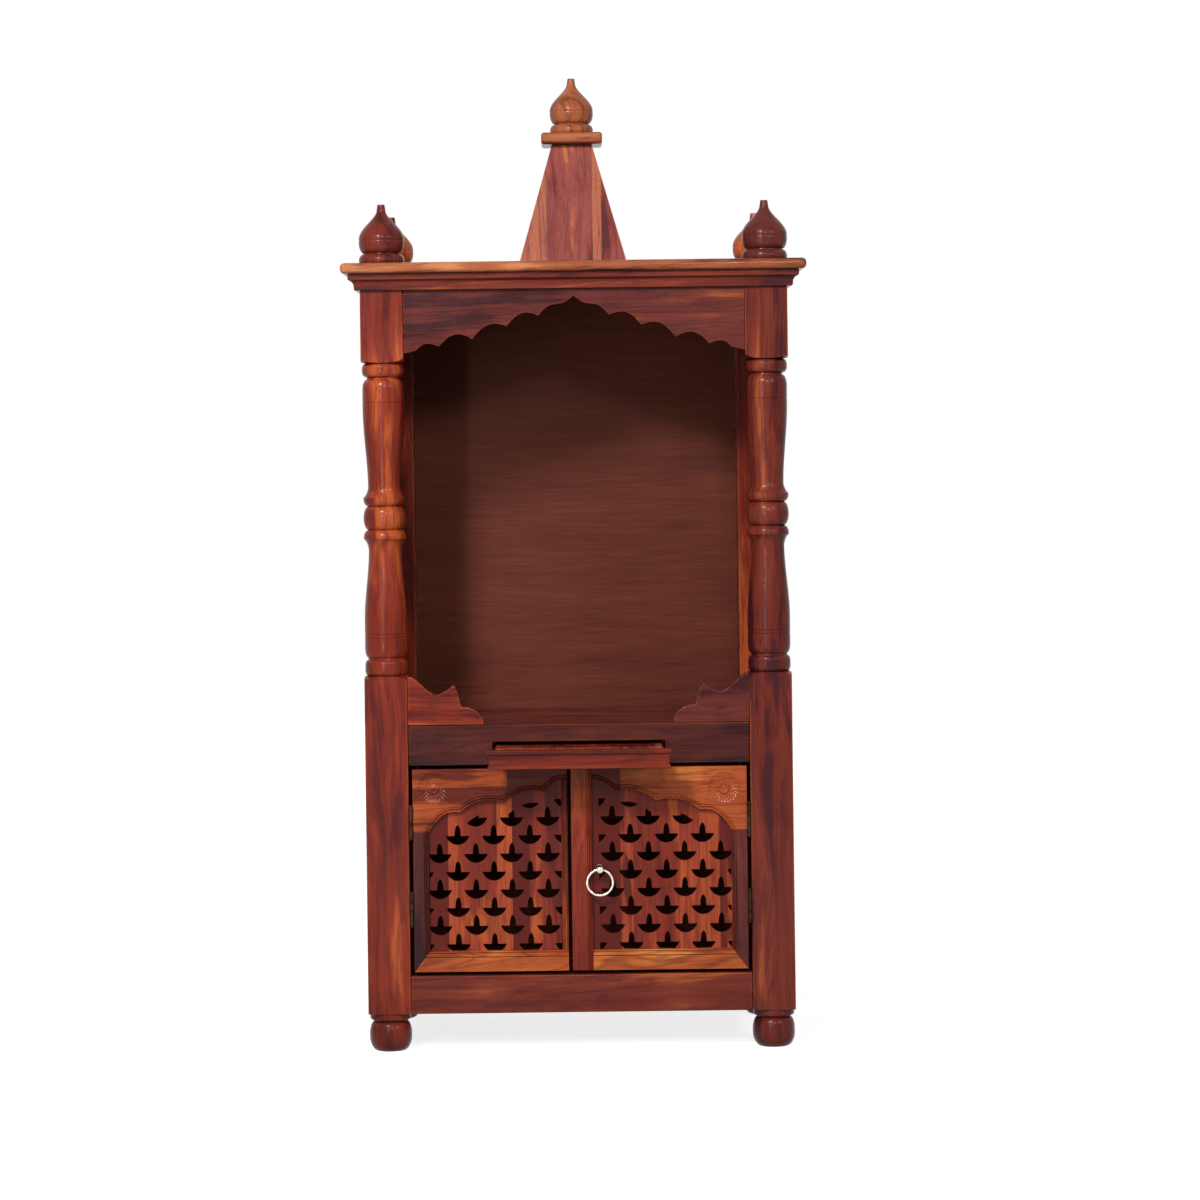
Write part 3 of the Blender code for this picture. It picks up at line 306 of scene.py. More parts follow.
def sheesham(name, stain, grain, seed, gloss=0.22, staves=(), left=0.0):
    """Stained and lacquered sheesham, in one board or glued up from staves."""
    made, tree = new_material(name)
    tones, black, honey, black_share, honey_share = STAINS[stain]
    place = add_node(tree, "ShaderNodeTexCoord").outputs["Object"]
    board = board_in_tree(tree, place, grain, seed)
    stave = None
    if staves:
        stave = stave_tones(tree, place, staves, left)
        jump = {0: stave, 1: (0.31, 0.17, 2.3)}
        jump = add_node(tree, "ShaderNodeVectorMath", jump, operation="MULTIPLY").outputs[0]
        board = add_node(tree, "ShaderNodeVectorMath", {0: board, 1: jump}).outputs[0]
    grains = grain_of(tree, board)
    colour = wood_tones(tree, grains, tones, stave)
    masks = wood_masks(tree, grains, black_share, honey_share, stave)
    tints = {"honey": honey, "black": black, "stave": STAVE_AND_SHADOW_BLACK}
    for part, share, tint in [row for row in OVER if row[0] in masks]:
        amount = {0: masks[part], 1: share}
        amount = add_node(tree, "ShaderNodeMath", amount, operation="MULTIPLY").outputs[0]
        inputs = {0: amount, 6: colour, 7: linear(tints[tint])}
        colour = add_node(tree, "ShaderNodeMix", inputs, data_type="RGBA").outputs[2]
    rough, bump = lacquered(tree, place, grains, masks["pore"], gloss)
    finish = {"Base Color": colour, "Roughness": rough, "Normal": bump}
    finish |= {"Specular IOR Level": 0.09, "Coat Weight": 0.05, "Coat Roughness": 0.07}
    shader = add_node(tree, "ShaderNodeBsdfPrincipled", finish)
    add_node(tree, "ShaderNodeOutputMaterial", {"Surface": shader.outputs[0]})
    return made


print("sheesham in", len(STAINS), "stains")

# %% [markdown]
# ## Veneer, nickel and brass
# The back is a board faced with veneer. A veneer is peeled or sliced thin, so its grain is straighter
# and its tones are closer together than the solid wood's; the finish on it is satin, not gloss. The
# ring pull is nickel-plated and mirrors the room, and the hinges are brass that has gone dull.

# %% Veneer and metals
# Noises of the veneer: width in mm, stretch along the grain, and share.
SLICED = ((40.0, 0.15, 0.30), (5.0, 0.06, 0.25), (1.6, 0.03, 0.45))


def veneer(name, tones, grain):
    """Straight-grained veneer with a satin finish."""
    made, tree = new_material(name)
    place = add_node(tree, "ShaderNodeTexCoord").outputs["Object"]
    turned = add_node(tree, "ShaderNodeMapping", {"Vector": place, "Rotation": TURNS[grain]}).outputs[0]
    tone = 0.0
    for width, stretch, share in SLICED:
        long = {"Vector": turned, "Scale": (1.0, 1.0, stretch)}
        long = add_node(tree, "ShaderNodeMapping", long).outputs[0]
        noise = {"Vector": long, "Scale": 1 / (width * MM), "Detail": 3.0}
        fine = add_node(tree, "ShaderNodeTexNoise", noise).outputs["Fac"]
        tone = {0: fine, 1: share, 2: tone}
        tone = add_node(tree, "ShaderNodeMath", tone, operation="MULTIPLY_ADD").outputs[0]
    limits = {"Value": tone, "From Min": 0.30, "From Max": 0.70}
    spread = add_node(tree, "ShaderNodeMapRange", limits).outputs["Result"]
    colour = {0: spread, 6: linear(tones[0]), 7: linear(tones[1])}
    colour = add_node(tree, "ShaderNodeMix", colour, data_type="RGBA").outputs[2]
    bump = {"Height": fine, "Strength": 0.15, "Distance": 0.3 * MM}
    bump = add_node(tree, "ShaderNodeBump", bump).outputs[0]
    limits = {"Value": fine, "From Min": 0.3, "From Max": 0.7, "To Min": 0.38, "To Max": 0.50}
    rough = add_node(tree, "ShaderNodeMapRange", limits).outputs["Result"]
    finish = {"Base Color": colour, "Roughness": rough, "Normal": bump, "Specular IOR Level": 0.06}
    shader = add_node(tree, "ShaderNodeBsdfPrincipled", finish)
    add_node(tree, "ShaderNodeOutputMaterial", {"Surface": shader.outputs[0]})
    return made


def metal(name, colour, tarnish, roughness, wear):
    """A bare metal whose colour and polish vary a little over a few millimetres."""
    made, tree = new_material(name)
    place = add_node(tree, "ShaderNodeTexCoord").outputs["Object"]
    cloud = {"Vector": place, "Scale": 1 / (6 * MM), "Detail": 3.0}
    cloud = add_node(tree, "ShaderNodeTexNoise", cloud).outputs["Fac"]
    limits = {"Value": cloud, "From Min": 0.35, "From Max": 0.65}
    share = add_node(tree, "ShaderNodeMapRange", limits).outputs["Result"]
    tint = {0: share, 6: linear(colour), 7: linear(tarnish)}
    tint = add_node(tree, "ShaderNodeMix", tint, data_type="RGBA").outputs[2]
    limits = {"Value": cloud, "From Min": 0.3, "From Max": 0.7}
    limits |= {"To Min": roughness, "To Max": roughness + wear}
    rough = add_node(tree, "ShaderNodeMapRange", limits).outputs["Result"]
    finish = {"Base Color": tint, "Metallic": 1.0, "Roughness": rough}
    shader = add_node(tree, "ShaderNodeBsdfPrincipled", finish)
    add_node(tree, "ShaderNodeOutputMaterial", {"Surface": shader.outputs[0]})
    return made


back_veneer = veneer("Sliced_veneer_satin", ("#431d18", "#693423"), "X")
nickel = metal("Plated_nickel_polished", "#d8d2c9", "#b9b1a6", 0.10, 0.08)
brass = metal("Brass_gone_dull", "#3c2b1f", "#241813", 0.38, 0.16)
print("veneer, nickel and brass")

# %% [markdown]
# ## Dressing the solids
# A solid from a CAD file is a mesh of loose flat triangles. A copy is welded, its flat faces are
# joined again, and a narrow bevel eases its sharp edges, as sandpaper does before the lacquer. The
# bevel's new faces are marked with an attribute, and the wood's material turns them towards honey:
# partly for the stain that thins along just these edges on the real cabinet, and partly as a painted
# highlight along them. The copy then stands for the solid.

# %% Dress a solid
def plain_mesh(obj, name):
    """The object as it looks with its modifiers, as a mesh in world space; the object is removed."""
    bpy.context.view_layer.update()
    graph = bpy.context.evaluated_depsgraph_get()
    mesh = bpy.data.meshes.new_from_object(obj.evaluated_get(graph))
    mesh.transform(obj.matrix_world)
    mesh.name = name
    bpy.data.objects.remove(obj)
    return mesh


def loose_object(name, mesh):
    """An object in the scene that holds the mesh while it is worked on."""
    obj = bpy.data.objects.new(name, mesh)
    bpy.context.scene.collection.objects.link(obj)
    return obj


def show(name, mesh, material, body, smooth=35):
    """A finished piece that rides on a body and takes its finish from a slot."""
    mesh.materials.clear()
    mesh.materials.append(material)
    mesh.shade_smooth()
    mesh.set_sharp_from_angle(angle=math.radians(smooth))
    rough = loose_object(name + "_rough", mesh)
    weighted = rough.modifiers.new("Flat_faces_stay_flat", "WEIGHTED_NORMAL")
    weighted.keep_sharp = True
    obj = loose_object(name, plain_mesh(rough, name))
    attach(obj, body)
    return obj


def welded(node):
    """A copy of a solid's mesh with its corners joined and its flat faces whole."""
    shape = bmesh.new()
    shape.from_mesh(frame["nodes"][node].data)
    bmesh.ops.remove_doubles(shape, verts=shape.verts, dist=0.00001)
    bmesh.ops.dissolve_limit(shape, angle_limit=math.radians(0.4), verts=shape.verts, edges=shape.edges)
    mesh = bpy.data.meshes.new(node + "_shape")
    shape.to_mesh(mesh)
    shape.free()
    mesh.materials.clear()
    return mesh


def marked(mesh):
    """The mesh with the faces of its second material marked as lighter edges, for wear and painted
    highlight, and all in its first.
    """
    worn = mesh.attributes.new("worn", "FLOAT", "FACE")
    worn.data.foreach_set("value", [float(face.material_index == 1) for face in mesh.polygons])
    for face in mesh.polygons:
        face.material_index = 0
    return mesh


def eased(obj, width, angle=32):
    """The object's mesh with its sharp edges rounded, and the new faces marked for wear and painted
    highlight.
    """
    for marker in (None, None):
        obj.data.materials.append(marker)
    bevel = obj.modifiers.new("Eased", "BEVEL")
    bevel.width = width
    bevel.segments = 2
    bevel.limit_method = "ANGLE"
    bevel.angle_limit = math.radians(angle)
    bevel.material = 1
    return marked(plain_mesh(obj, obj.name))


def dress(node, material, ease=0.0, smooth=32):
    """A welded, eased and smoothly shaded copy of a solid stands for it."""
    mesh = welded(node)
    if ease:
        mesh = eased(loose_object(node + "_shape", mesh), ease, smooth)
    body = body_of(frame["nodes"][node])[0]
    piece = show(node + "_finish", mesh, material, body, smooth)
    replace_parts(piece, node)
    return piece


# %% [markdown]
# ## The boards
# Each board names its stain, the way its grain runs, and how far its edges are rounded. The tones
# differ from board to board as they do on the real cabinet: redder on the left, browner on the
# right, honey at the doors' rails and a duller tan on top. The darkest stain, on the shelf rail and
# the left door's outer stile, is partly their own tone and partly painted shade, darker towards the
# bottom. The tower's boards are glued up from staves.

# %% Boards
BOARDS = {
    "bottom_rail_front": ("brown", "X", 1501, 0.0008),
    "shelf_rail_front": ("dark", "X", 602, 0.0008),
    "cabinet_floor": ("plum", "X", 3, 0.0006),
    "shelf_board": ("plum", "X", 4, 0.0006),
    "side_panel_left": ("plum", "Z", 5, 0.0008),
    "side_panel_right": ("plum", "Z", 6, 0.0008),
    "valance_front": ("plum", "X", 607, 0.0010),
    "bracket_left": ("red", "X", 608, 0.0012),
    "bracket_right": ("plum", "X", 609, 0.0012),
    "cornice_front": ("brown", "X", 10, 0.0003),
    "cornice_left": ("brown", "Y", 11, 0.0003),
    "cornice_right": ("brown", "Y", 12, 0.0003),
    "top_slab": ("tan", "X", 13, 0.0),
    "tower_cap": ("tan", "X", 15, 0.0),
    "tray_board": ("red", "Y", 16, 0.0008),
    "tray_front": ("red", "X", 617, 0.0004),
    "tray_runner_left": ("plum", "Y", 18, 0.0005),
    "tray_runner_right": ("plum", "Y", 19, 0.0005),
    "door_left_outer_stile": ("dark", "Z", 620, 0.0005),
    "door_left_meeting_stile": ("brown", "Z", 621, 0.0005),
    "door_left_bottom_rail": ("honey", "X", 622, 0.0005),
    "door_right_outer_stile": ("plum", "Z", 623, 0.0005),
    "door_right_meeting_stile": ("red", "Z", 624, 0.0005),
    "door_right_bottom_rail": ("honey", "X", 625, 0.0005),
}
TOWER_STAVES = ((37, 0.72), (62, 0.44), (12, 0.86), (34, 0.40))  # widths in mm and tones, from the left
woods = {}
for node, (stain, grain, seed, ease) in BOARDS.items():
    woods[node] = sheesham("Sheesham_" + node, stain, grain, seed)
    dress(node, woods[node], ease)
woods["tower"] = sheesham("Sheesham_tower", "rose", "Z", 2314, 0.22, TOWER_STAVES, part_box("tower")[0][0])
dress("tower", woods["tower"], 0.0009)
dress("back_panel", back_veneer, 0.0006)
print(len(BOARDS) + 2, "boards dressed")

# %% [markdown]
# ## Helpers for geometry nodes
# What repeats on the cabinet, or follows a line, is made by a tree of geometry nodes: the lamps of
# the pierced panels, the flutes of the rosettes, the beads and the screws. Each tree has named
# inputs, and its result is turned into a plain mesh before it is handed over.

# %% Open, close and use a tree
def new_tree(name, inputs):
    """A geometry tree with named inputs; returns it with its input sockets."""
    tree = bpy.data.node_groups.new(name, "GeometryNodeTree")
    tree.interface.new_socket("Geometry", in_out="INPUT", socket_type="NodeSocketGeometry")
    for label, kind in inputs.items():
        tree.interface.new_socket(label, in_out="INPUT", socket_type=kind)
    tree.interface.new_socket("Geometry", in_out="OUTPUT", socket_type="NodeSocketGeometry")
    return tree, add_node(tree, "NodeGroupInput").outputs


def close_tree(tree, geometry, material):
    """Ends a tree with real geometry in its material."""
    real = add_node(tree, "GeometryNodeRealizeInstances", {0: geometry}).outputs[0]
    finished = add_node(tree, "GeometryNodeSetMaterial", {"Geometry": real, "Material": material})
    add_node(tree, "NodeGroupOutput", {0: finished.outputs[0]})


def grown(name, mesh, tree, values):
    """The plain mesh that a tree makes from a start mesh, its faces turned outwards."""
    obj = loose_object(name, mesh)
    modifier = obj.modifiers.new("Grow", "NODES")
    modifier.node_group = tree
    for item in tree.interface.items_tree:
        if item.in_out == "INPUT" and item.name in values:
            modifier[item.identifier] = values[item.name]
    made = plain_mesh(obj, name)
    shape = bmesh.new()
    shape.from_mesh(made)
    bmesh.ops.recalc_face_normals(shape, faces=shape.faces)
    shape.to_mesh(made)
    shape.free()
    return made


print("tree helpers ready")

# %% [markdown]
# ## The arches' lines
# Pierced field, bead and rosette all keep their distance from the arch of the door, so its edge is
# read once from the solid, together with the line one band above it. The two lines are in step:
# both are cut at the cusps and each stretch is divided evenly.

# %% Read the arches
BAND_W, RAIL_BAND_W, BAND_D = 6.5 * MM, 8.4 * MM, 2.5 * MM


def along(line, steps):
    """Points at even distances on a line of points."""
    lengths = [0.0]
    for (x0, z0), (x1, z1) in zip(line, line[1:]):
        lengths.append(lengths[-1] + math.hypot(x1 - x0, z1 - z0))
    points = []
    part = 0
    for i in range(steps + 1):
        target = lengths[-1] * i / steps
        while part < len(line) - 2 and lengths[part + 1] < target:
            part += 1
        share = (target - lengths[part]) / (lengths[part + 1] - lengths[part])
        (x0, z0), (x1, z1) = line[part], line[part + 1]
        points.append((x0 + (x1 - x0) * share, z0 + (z1 - z0) * share))
    return points


def arch_edge(side):
    """The arch's lower edge as the solid has it: the corners of its sunk band that the front lacks."""
    node = f"door_{side}_arch_rail"
    front_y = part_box(node)[0][1]
    corners = [vertex.co for vertex in frame["nodes"][node].data.vertices]
    front, floor = (
        {(round(abs(c.x), 5), round(c.z, 5)) for c in corners if abs(c.y - y) < 0.00002}
        for y in (front_y, front_y + BAND_D)
    )
    edge = [spot for spot in floor if all(math.dist(spot, other) > 0.00003 for other in front)]
    return sorted(edge, reverse=True)


def above(line, x, width):
    """The height at x of the line that keeps a width's distance over another line."""
    return max(z + math.sqrt(width**2 - (x - u) ** 2) for u, z in line if abs(x - u) < width)


def arch_lines(side):
    """The arch's lower edge and the line one band above it, in step."""
    edge = arch_edge(side)
    fine = along(edge, 1500)
    far, near = edge[0][0] + BAND_W * 0.9995, edge[-1][0]
    reaches = [far - (far - near) * i / 900 for i in range(901)]
    outer = [(x, above(fine, x, BAND_W)) for x in reaches]
    outer[0] = (edge[0][0] + BAND_W, edge[0][1])
    inside = range(1, len(edge) - 1)
    cusps = [i for i in inside if edge[i][1] < min(edge[i - 1][1], edge[i + 1][1]) - 0.00001]
    notches = []
    for cusp in cusps:
        near = [i for i, spot in enumerate(outer) if abs(spot[0] - edge[cusp][0]) < 0.008]
        notches.append(min(near, key=lambda i: outer[i][1]))
    inner_points, outer_points = [edge[0]], [outer[0]]
    stops = zip([0, *cusps], [*cusps, len(edge) - 1], [0, *notches], [*notches, len(outer) - 1])
    for first, last, start, stop in stops:
        inner_points += along(edge[first : last + 1], 26)[1:]
        outer_points += along(outer[start : stop + 1], 26)[1:]
    return inner_points, outer_points


lines = {side: arch_lines(side) for side in ("left", "right")}
print("points along each arch", {side: len(pair[0]) for side, pair in lines.items()})

# %% [markdown]
# ## Pierced panels
# The jali in each door shows rows of small clay lamps with a flame, sawn out with a fretsaw. One
# lamp is drawn: a shallow bowl with pointed lips, and a blunt flame. The tree sets it on a grid whose
# second rows are shifted by half a pitch, keeps what lies in the field under the arch, and cuts that
# from the panel. Cutting a solid board, instead of drawing the openings as dark shapes, is what shows
# the panel's thickness and lets the light through.

# %% One lamp and the field
LAMP_W, LAMP_H = 31.0 * MM, 12.0 * MM
FLAME_H = 14.0 * MM
# The flame's right side: share of its height, and half its width in mm.
FLAME = ((0.0, 4.2), (0.3, 3.9), (0.55, 3.5), (0.72, 3.0), (0.85, 2.3), (0.94, 1.4))
PITCH_X, PITCH_Z = 47.4 * MM, 23.65 * MM
FIRST_X, UNDER_TOP = 18.5 * MM, 41.0 * MM  # first lamp from the middle, and its rim under the door's top
FIELD_IN, UNDER_ARCH = 24.5 * MM, 17.0 * MM


def prism(name, outline, front, back):
    """A closed prism from an outline of (x, z) points, between two depths."""
    shape = bmesh.new()
    rims = [[shape.verts.new((x, y, z)) for x, z in outline] for y in (front, back)]
    for rim in rims:
        shape.faces.new(rim)
    for i in range(len(outline)):
        shape.faces.new((rims[0][i - 1], rims[1][i - 1], rims[1][i], rims[0][i]))
    bmesh.ops.recalc_face_normals(shape, faces=shape.faces)
    mesh = bpy.data.meshes.new(name)
    shape.to_mesh(mesh)
    shape.free()
    return loose_object(name, mesh)


def lamp_outline():
    """A bowl below Z = 0 and its flame above."""
    bowl = []
    for i in range(21):
        x = -math.cos(math.pi * i / 20)
        bowl.append((x * LAMP_W / 2, -LAMP_H * (1 - x * x) ** 0.72))
    right = [(half * MM, share * FLAME_H) for share, half in FLAME]
    return bowl + right + [(0.0, FLAME_H)] + [(-x, z) for x, z in reversed(right)]


def field_outline(side, sign):
    """From the bottom rail up to a line that keeps its distance under the arch."""
    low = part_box(f"door_{side}_bottom_rail")[1][2]
    edge = along(lines[side][0], 600)
    reach = edge[0][0] - 0.5 * MM
    points = [(FIELD_IN, low), (reach, low)]
    for i in range(61):
        x = reach + (FIELD_IN - reach) * i / 60
        near = [(u, z) for u, z in edge if abs(x - u) < UNDER_ARCH]
        points.append((x, min(z - math.sqrt(UNDER_ARCH**2 - (x - u) ** 2) for u, z in near)))
    return [(sign * x, z) for x, z in points]


print(len(lamp_outline()), "points round a lamp")

# %% The perforations' tree
def grid_points(tree, given):
    """Points on a grid of columns and rows, every second row shifted by half a pitch."""
    count = {0: given["Columns"], 1: given["Rows"]}
    count = add_node(tree, "ShaderNodeMath", count, operation="MULTIPLY").outputs[0]
    points = add_node(tree, "GeometryNodeMeshLine", {"Count": count}).outputs[0]
    index = add_node(tree, "GeometryNodeInputIndex").outputs[0]
    place = {0: index, 1: given["Columns"]}
    row = add_node(tree, "ShaderNodeMath", place, operation="DIVIDE").outputs[0]
    row = add_node(tree, "ShaderNodeMath", {0: row}, operation="FLOOR").outputs[0]
    column = add_node(tree, "ShaderNodeMath", place, operation="MODULO").outputs[0]
    odd = add_node(tree, "ShaderNodeMath", {0: row, 1: 2.0}, operation="MODULO").outputs[0]
    column = {0: odd, 1: 0.5, 2: column}
    column = add_node(tree, "ShaderNodeMath", column, operation="MULTIPLY_ADD").outputs[0]
    across = {0: column, 1: given["Pitch X"]}
    across = add_node(tree, "ShaderNodeMath", across, operation="MULTIPLY").outputs[0]
    down = add_node(tree, "ShaderNodeMath", {0: row, 1: given["Pitch Z"]}, operation="MULTIPLY").outputs[0]
    down = add_node(tree, "ShaderNodeMath", {0: down, 1: -1.0}, operation="MULTIPLY").outputs[0]
    place = add_node(tree, "ShaderNodeCombineXYZ", {0: across, 2: down}).outputs[0]
    place = add_node(tree, "ShaderNodeVectorMath", {0: place, 1: given["First"]}).outputs[0]
    return add_node(tree, "GeometryNodeSetPosition", {"Geometry": points, "Position": place}).outputs[0]


def pierce_tree():
    """Cuts a shape from a board on a shifted grid, inside a field."""
    kinds = {"Shape": "NodeSocketObject", "Field": "NodeSocketObject"}
    kinds |= {"Columns": "NodeSocketInt", "Rows": "NodeSocketInt"}
    kinds |= {"Pitch X": "NodeSocketFloat", "Pitch Z": "NodeSocketFloat", "First": "NodeSocketVector"}
    tree, given = new_tree("Pierce_a_board", kinds | {"Material": "NodeSocketMaterial"})
    shape = add_node(tree, "GeometryNodeObjectInfo", {"Object": given["Shape"]}).outputs["Geometry"]
    copies = {"Points": grid_points(tree, given), "Instance": shape}
    shapes = add_node(tree, "GeometryNodeInstanceOnPoints", copies).outputs[0]
    shapes = add_node(tree, "GeometryNodeRealizeInstances", {0: shapes}).outputs[0]
    field = add_node(tree, "GeometryNodeObjectInfo", {"Object": given["Field"]}).outputs["Geometry"]
    inside = add_node(tree, "GeometryNodeMeshBoolean", {1: shapes}, operation="INTERSECT", solver="EXACT")
    tree.links.new(field, inside.inputs[1])
    cutters = {0: given["Geometry"], 1: inside.outputs[0]}
    cut = add_node(tree, "GeometryNodeMeshBoolean", cutters, operation="DIFFERENCE", solver="EXACT")
    close_tree(tree, cut.outputs[0], given["Material"])
    return tree


pierce = pierce_tree()
print(pierce.name, len(pierce.nodes), "nodes")

# %% Pierce the panels
# Each panel is glued up from upright staves of different boards, so its tones change in steps.
STAVES = {
    "left": ((31, 0.02), (12, 0.92), (52, 0.45), (20, 0.98), (23, 0.05), (50, 0.52)),
    "right": ((43, 0.03), (17, 0.80), (60, 0.42), (27, 0.62), (26, 0.88), (27, 0.10)),
}
for side, sign, seed in (("left", -1, 61), ("right", 1, 62)):
    node = f"door_{side}_panel"
    low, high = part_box(node)
    wood = woods[node] = sheesham("Sheesham_" + node, "red", "Z", seed, 0.26, STAVES[side], low[0])
    corners = [(low[0], low[2]), (high[0], low[2]), (high[0], high[2]), (low[0], high[2])]
    blank = prism("blank", corners, low[1], high[1])
    middle = (low[1] + high[1]) / 2
    cutter = prism("lamp", lamp_outline(), -0.01, 0.01)
    field = prism("field", field_outline(side, sign), low[1] - 0.02, high[1] + 0.02)
    first = (sign * FIRST_X, middle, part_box(f"door_{side}_arch_rail")[1][2] - UNDER_TOP)
    values = {"Shape": cutter, "Field": field, "Columns": 5, "Rows": 9, "First": first, "Material": wood}
    values |= {"Pitch X": sign * PITCH_X, "Pitch Z": PITCH_Z}
    mesh = grown(node + "_pierced", blank.data, pierce, values)
    for other in (blank, cutter, field):
        bpy.data.objects.remove(other)
    mesh.materials.clear()
    mesh = eased(loose_object(node + "_pierced", mesh), 0.6 * MM, 40)
    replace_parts(show(node + "_finish", mesh, wood, "door_" + side), node)
    print(node, len(mesh.polygons), "faces")

# %% [markdown]
# ## Turned pieces
# Posts, feet and finials come off a lathe, so a profile of radius and height says all there is to
# know. It is a chain of the shapes that a turner names: quarter rounds, S-curves and half rounds.
# The lathe is the Screw modifier. The solids have the same profiles with fewer steps; here they get
# 64 steps, and the fine lines that the turner scores with the point of a skew. A front post is a
# square bar that is turned only between its squares, so the turned shape is cut with the bar.

# %% Turner's shapes
def quarter(start, end, upright_end, steps=8):
    """Points after start on a quarter ellipse that is level at one end and upright at the other."""
    points = []
    for i in range(1, steps + 1):
        turn = math.pi / 2 * i / steps
        along, up = math.sin(turn), 1 - math.cos(turn)
        if not upright_end:
            along, up = up, along
        points.append((start[0] + (end[0] - start[0]) * along, start[1] + (end[1] - start[1]) * up))
    return points


def s_curve(start, end, lean=1.0, steps=16):
    """Points after start on an S-curve that is upright at both ends."""
    points = []
    for i in range(1, steps + 1):
        share = i / steps
        turn = share**lean
        across = turn * turn * (3 - 2 * turn)
        points.append((start[0] + (end[0] - start[0]) * across, start[1] + (end[1] - start[1]) * share))
    return points


def half_round(low, high, foot, out, steps=14):
    """Points between two heights on a half round that swells from the foot's radius."""
    middle, half = (low + high) / 2, (high - low) / 2
    turns = [math.pi * i / steps for i in range(1, steps)]
    return [(foot + (out - foot) * math.sin(turn), middle - half * math.cos(turn)) for turn in turns]


def scored(radius, height):
    """A fine V cut by the point of the skew."""
    return [(radius, height - 0.7 * MM), (radius - 0.6 * MM, height), (radius, height + 0.7 * MM)]


def lathe(name, profile, place=(0.0, 0.0, 0.0), steps=64):
    """A turned piece from (radius, height) points listed from the bottom up."""
    mesh = bpy.data.meshes.new(name)
    edges = [(i, i + 1) for i in range(len(profile) - 1)]
    mesh.from_pydata([(r, 0.0, z) for r, z in reversed(profile)], edges, [])
    obj = loose_object(name, mesh)
    screw = obj.modifiers.new("Turn", "SCREW")
    screw.steps = steps
    screw.render_steps = steps
    screw.use_merge_vertices = True
    screw.merge_threshold = 0.00001
    obj.location = place
    return obj


print("quarter, S-curve, half round and scored line")

# %% Finials
def finial_profile(height, girth):
    """A base roll, a neck, a belly with a scored line, an ogee shoulder and a blunt spike."""
    points = [(0.0, 0.0), (0.0272, 0.0)]
    points += quarter(points[-1], (0.0291, 0.0042), True, 4)
    points += quarter(points[-1], (0.0232, 0.0125), False)
    points += [(0.0230, 0.0136)]
    points += quarter(points[-1], (0.0292, 0.0275), True, 12)
    points += scored(0.0292, 0.0300)
    points += s_curve((0.0292, 0.0300), (0.0056, 0.0690), 1.16, 28)[2:]
    points += [(0.0051, 0.0720), (0.0048, 0.0750), (0.0042, 0.0758), (0.0, 0.0758)]
    return [(radius * girth, z * height / 0.0758) for radius, z in points]


# Each finial's stain, and its girth against the profile's.
FINIALS = {
    "top": ("tan", 1.0),
    "front_left": ("brown", 1.025),
    "front_right": ("plum", 1.025),
    "rear_left": ("honey", 1.025),
    "rear_right": ("honey", 1.025),
}
for number, (corner, (stain, girth)) in enumerate(FINIALS.items()):
    node = "finial_" + corner
    low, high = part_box(node)
    place = ((low[0] + high[0]) / 2, (low[1] + high[1]) / 2, low[2])
    turned = lathe(node + "_turned", finial_profile(high[2] - low[2], girth), place)
    mesh = plain_mesh(turned, node + "_turned")
    woods[node] = sheesham("Sheesham_" + node, stain, "Z", 41 + number, 0.24)
    piece = show(node + "_finish", mesh, woods[node], body_of(frame["nodes"][node])[0], 50)
    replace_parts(piece, node)
print(len(FINIALS), "finials turned")

# %% The posts' profiles
SQUARE_R = 40.3 * MM  # where the lathe leaves the square's corners
FULL_R, WAIST_R, GROOVE_R = 27.9 * MM, 21.5 * MM, 21.4 * MM  # the fullest turning just fits the square
CLEAR_R = 56.0 * MM  # outside the square


def foot_profile():
    """The bun foot and its collar, up into the square."""
    points = [(0.0, 0.0), (0.0165, 0.0)]
    points += quarter(points[-1], (0.0277, 0.018), True, 10)
    points += [(0.0278, 0.0225)]
    points += quarter(points[-1], (0.0208, 0.0390), False, 12)
    points += [(0.0208, 0.0402)]
    points += quarter(points[-1], (0.0271, 0.0430), True, 4)
    return points + [(0.0271, 0.0495), (0.0267, 0.0500), (CLEAR_R, 0.0510)]


def ring(low, high, foot, ease=0.0075):
    """Points of a full ring that is rounded towards both ends."""
    points = [(foot, low)] + quarter((foot, low), (FULL_R, low + ease), True, 6)
    return points + quarter((FULL_R, high - ease), (foot, high), False, 6)


def middle_profile():
    """The turned stretch of a front post, from the lower square to the upper one."""
    points = [(CLEAR_R, 0.4840)]
    points += quarter((SQUARE_R, 0.4840), (0.0266, 0.4925), False)
    points += ring(0.4930, 0.5135, 0.0243) + [(0.0238, 0.5140), (0.0238, 0.5165)]
    points += quarter(points[-1], (FULL_R, 0.5290), True)
    points += scored(FULL_R, 0.5430) + scored(FULL_R, 0.5475) + [(FULL_R, 0.5660)]
    points += s_curve(points[-1], (WAIST_R, 0.6590), 1.0, 20)
    # Two arrises face away from the ball: a cove runs up to each, and a quarter round falls from it.
    points += [(0.0224, 0.6635), (0.0240, 0.6680), (0.0262, 0.6712), (FULL_R, 0.6728)]
    points += quarter((FULL_R, 0.6738), (GROOVE_R, 0.6845), False)
    points += half_round(0.6845, 0.7155, GROOVE_R, FULL_R, 18) + [(GROOVE_R, 0.7155)]
    points += quarter(points[-1], (FULL_R, 0.7256), True)
    points += [(FULL_R, 0.7266), (0.0262, 0.7282), (0.0240, 0.7316), (0.0224, 0.7355), (WAIST_R, 0.7395)]
    points += s_curve(points[-1], (0.0275, 0.8450), 1.0, 20)
    points += scored(0.0275, 0.8520) + [(0.0275, 0.8690)]
    points += quarter(points[-1], (0.0216, 0.8825), False) + [(0.0214, 0.8845)]
    points += ring(0.8852, 0.9035, 0.0222)
    points += quarter((0.0262, 0.9040), (SQUARE_R, 0.9125), True)
    return points + [(CLEAR_R, 0.9125)]


print("foot and middle in", len(foot_profile()) + len(middle_profile()), "points")

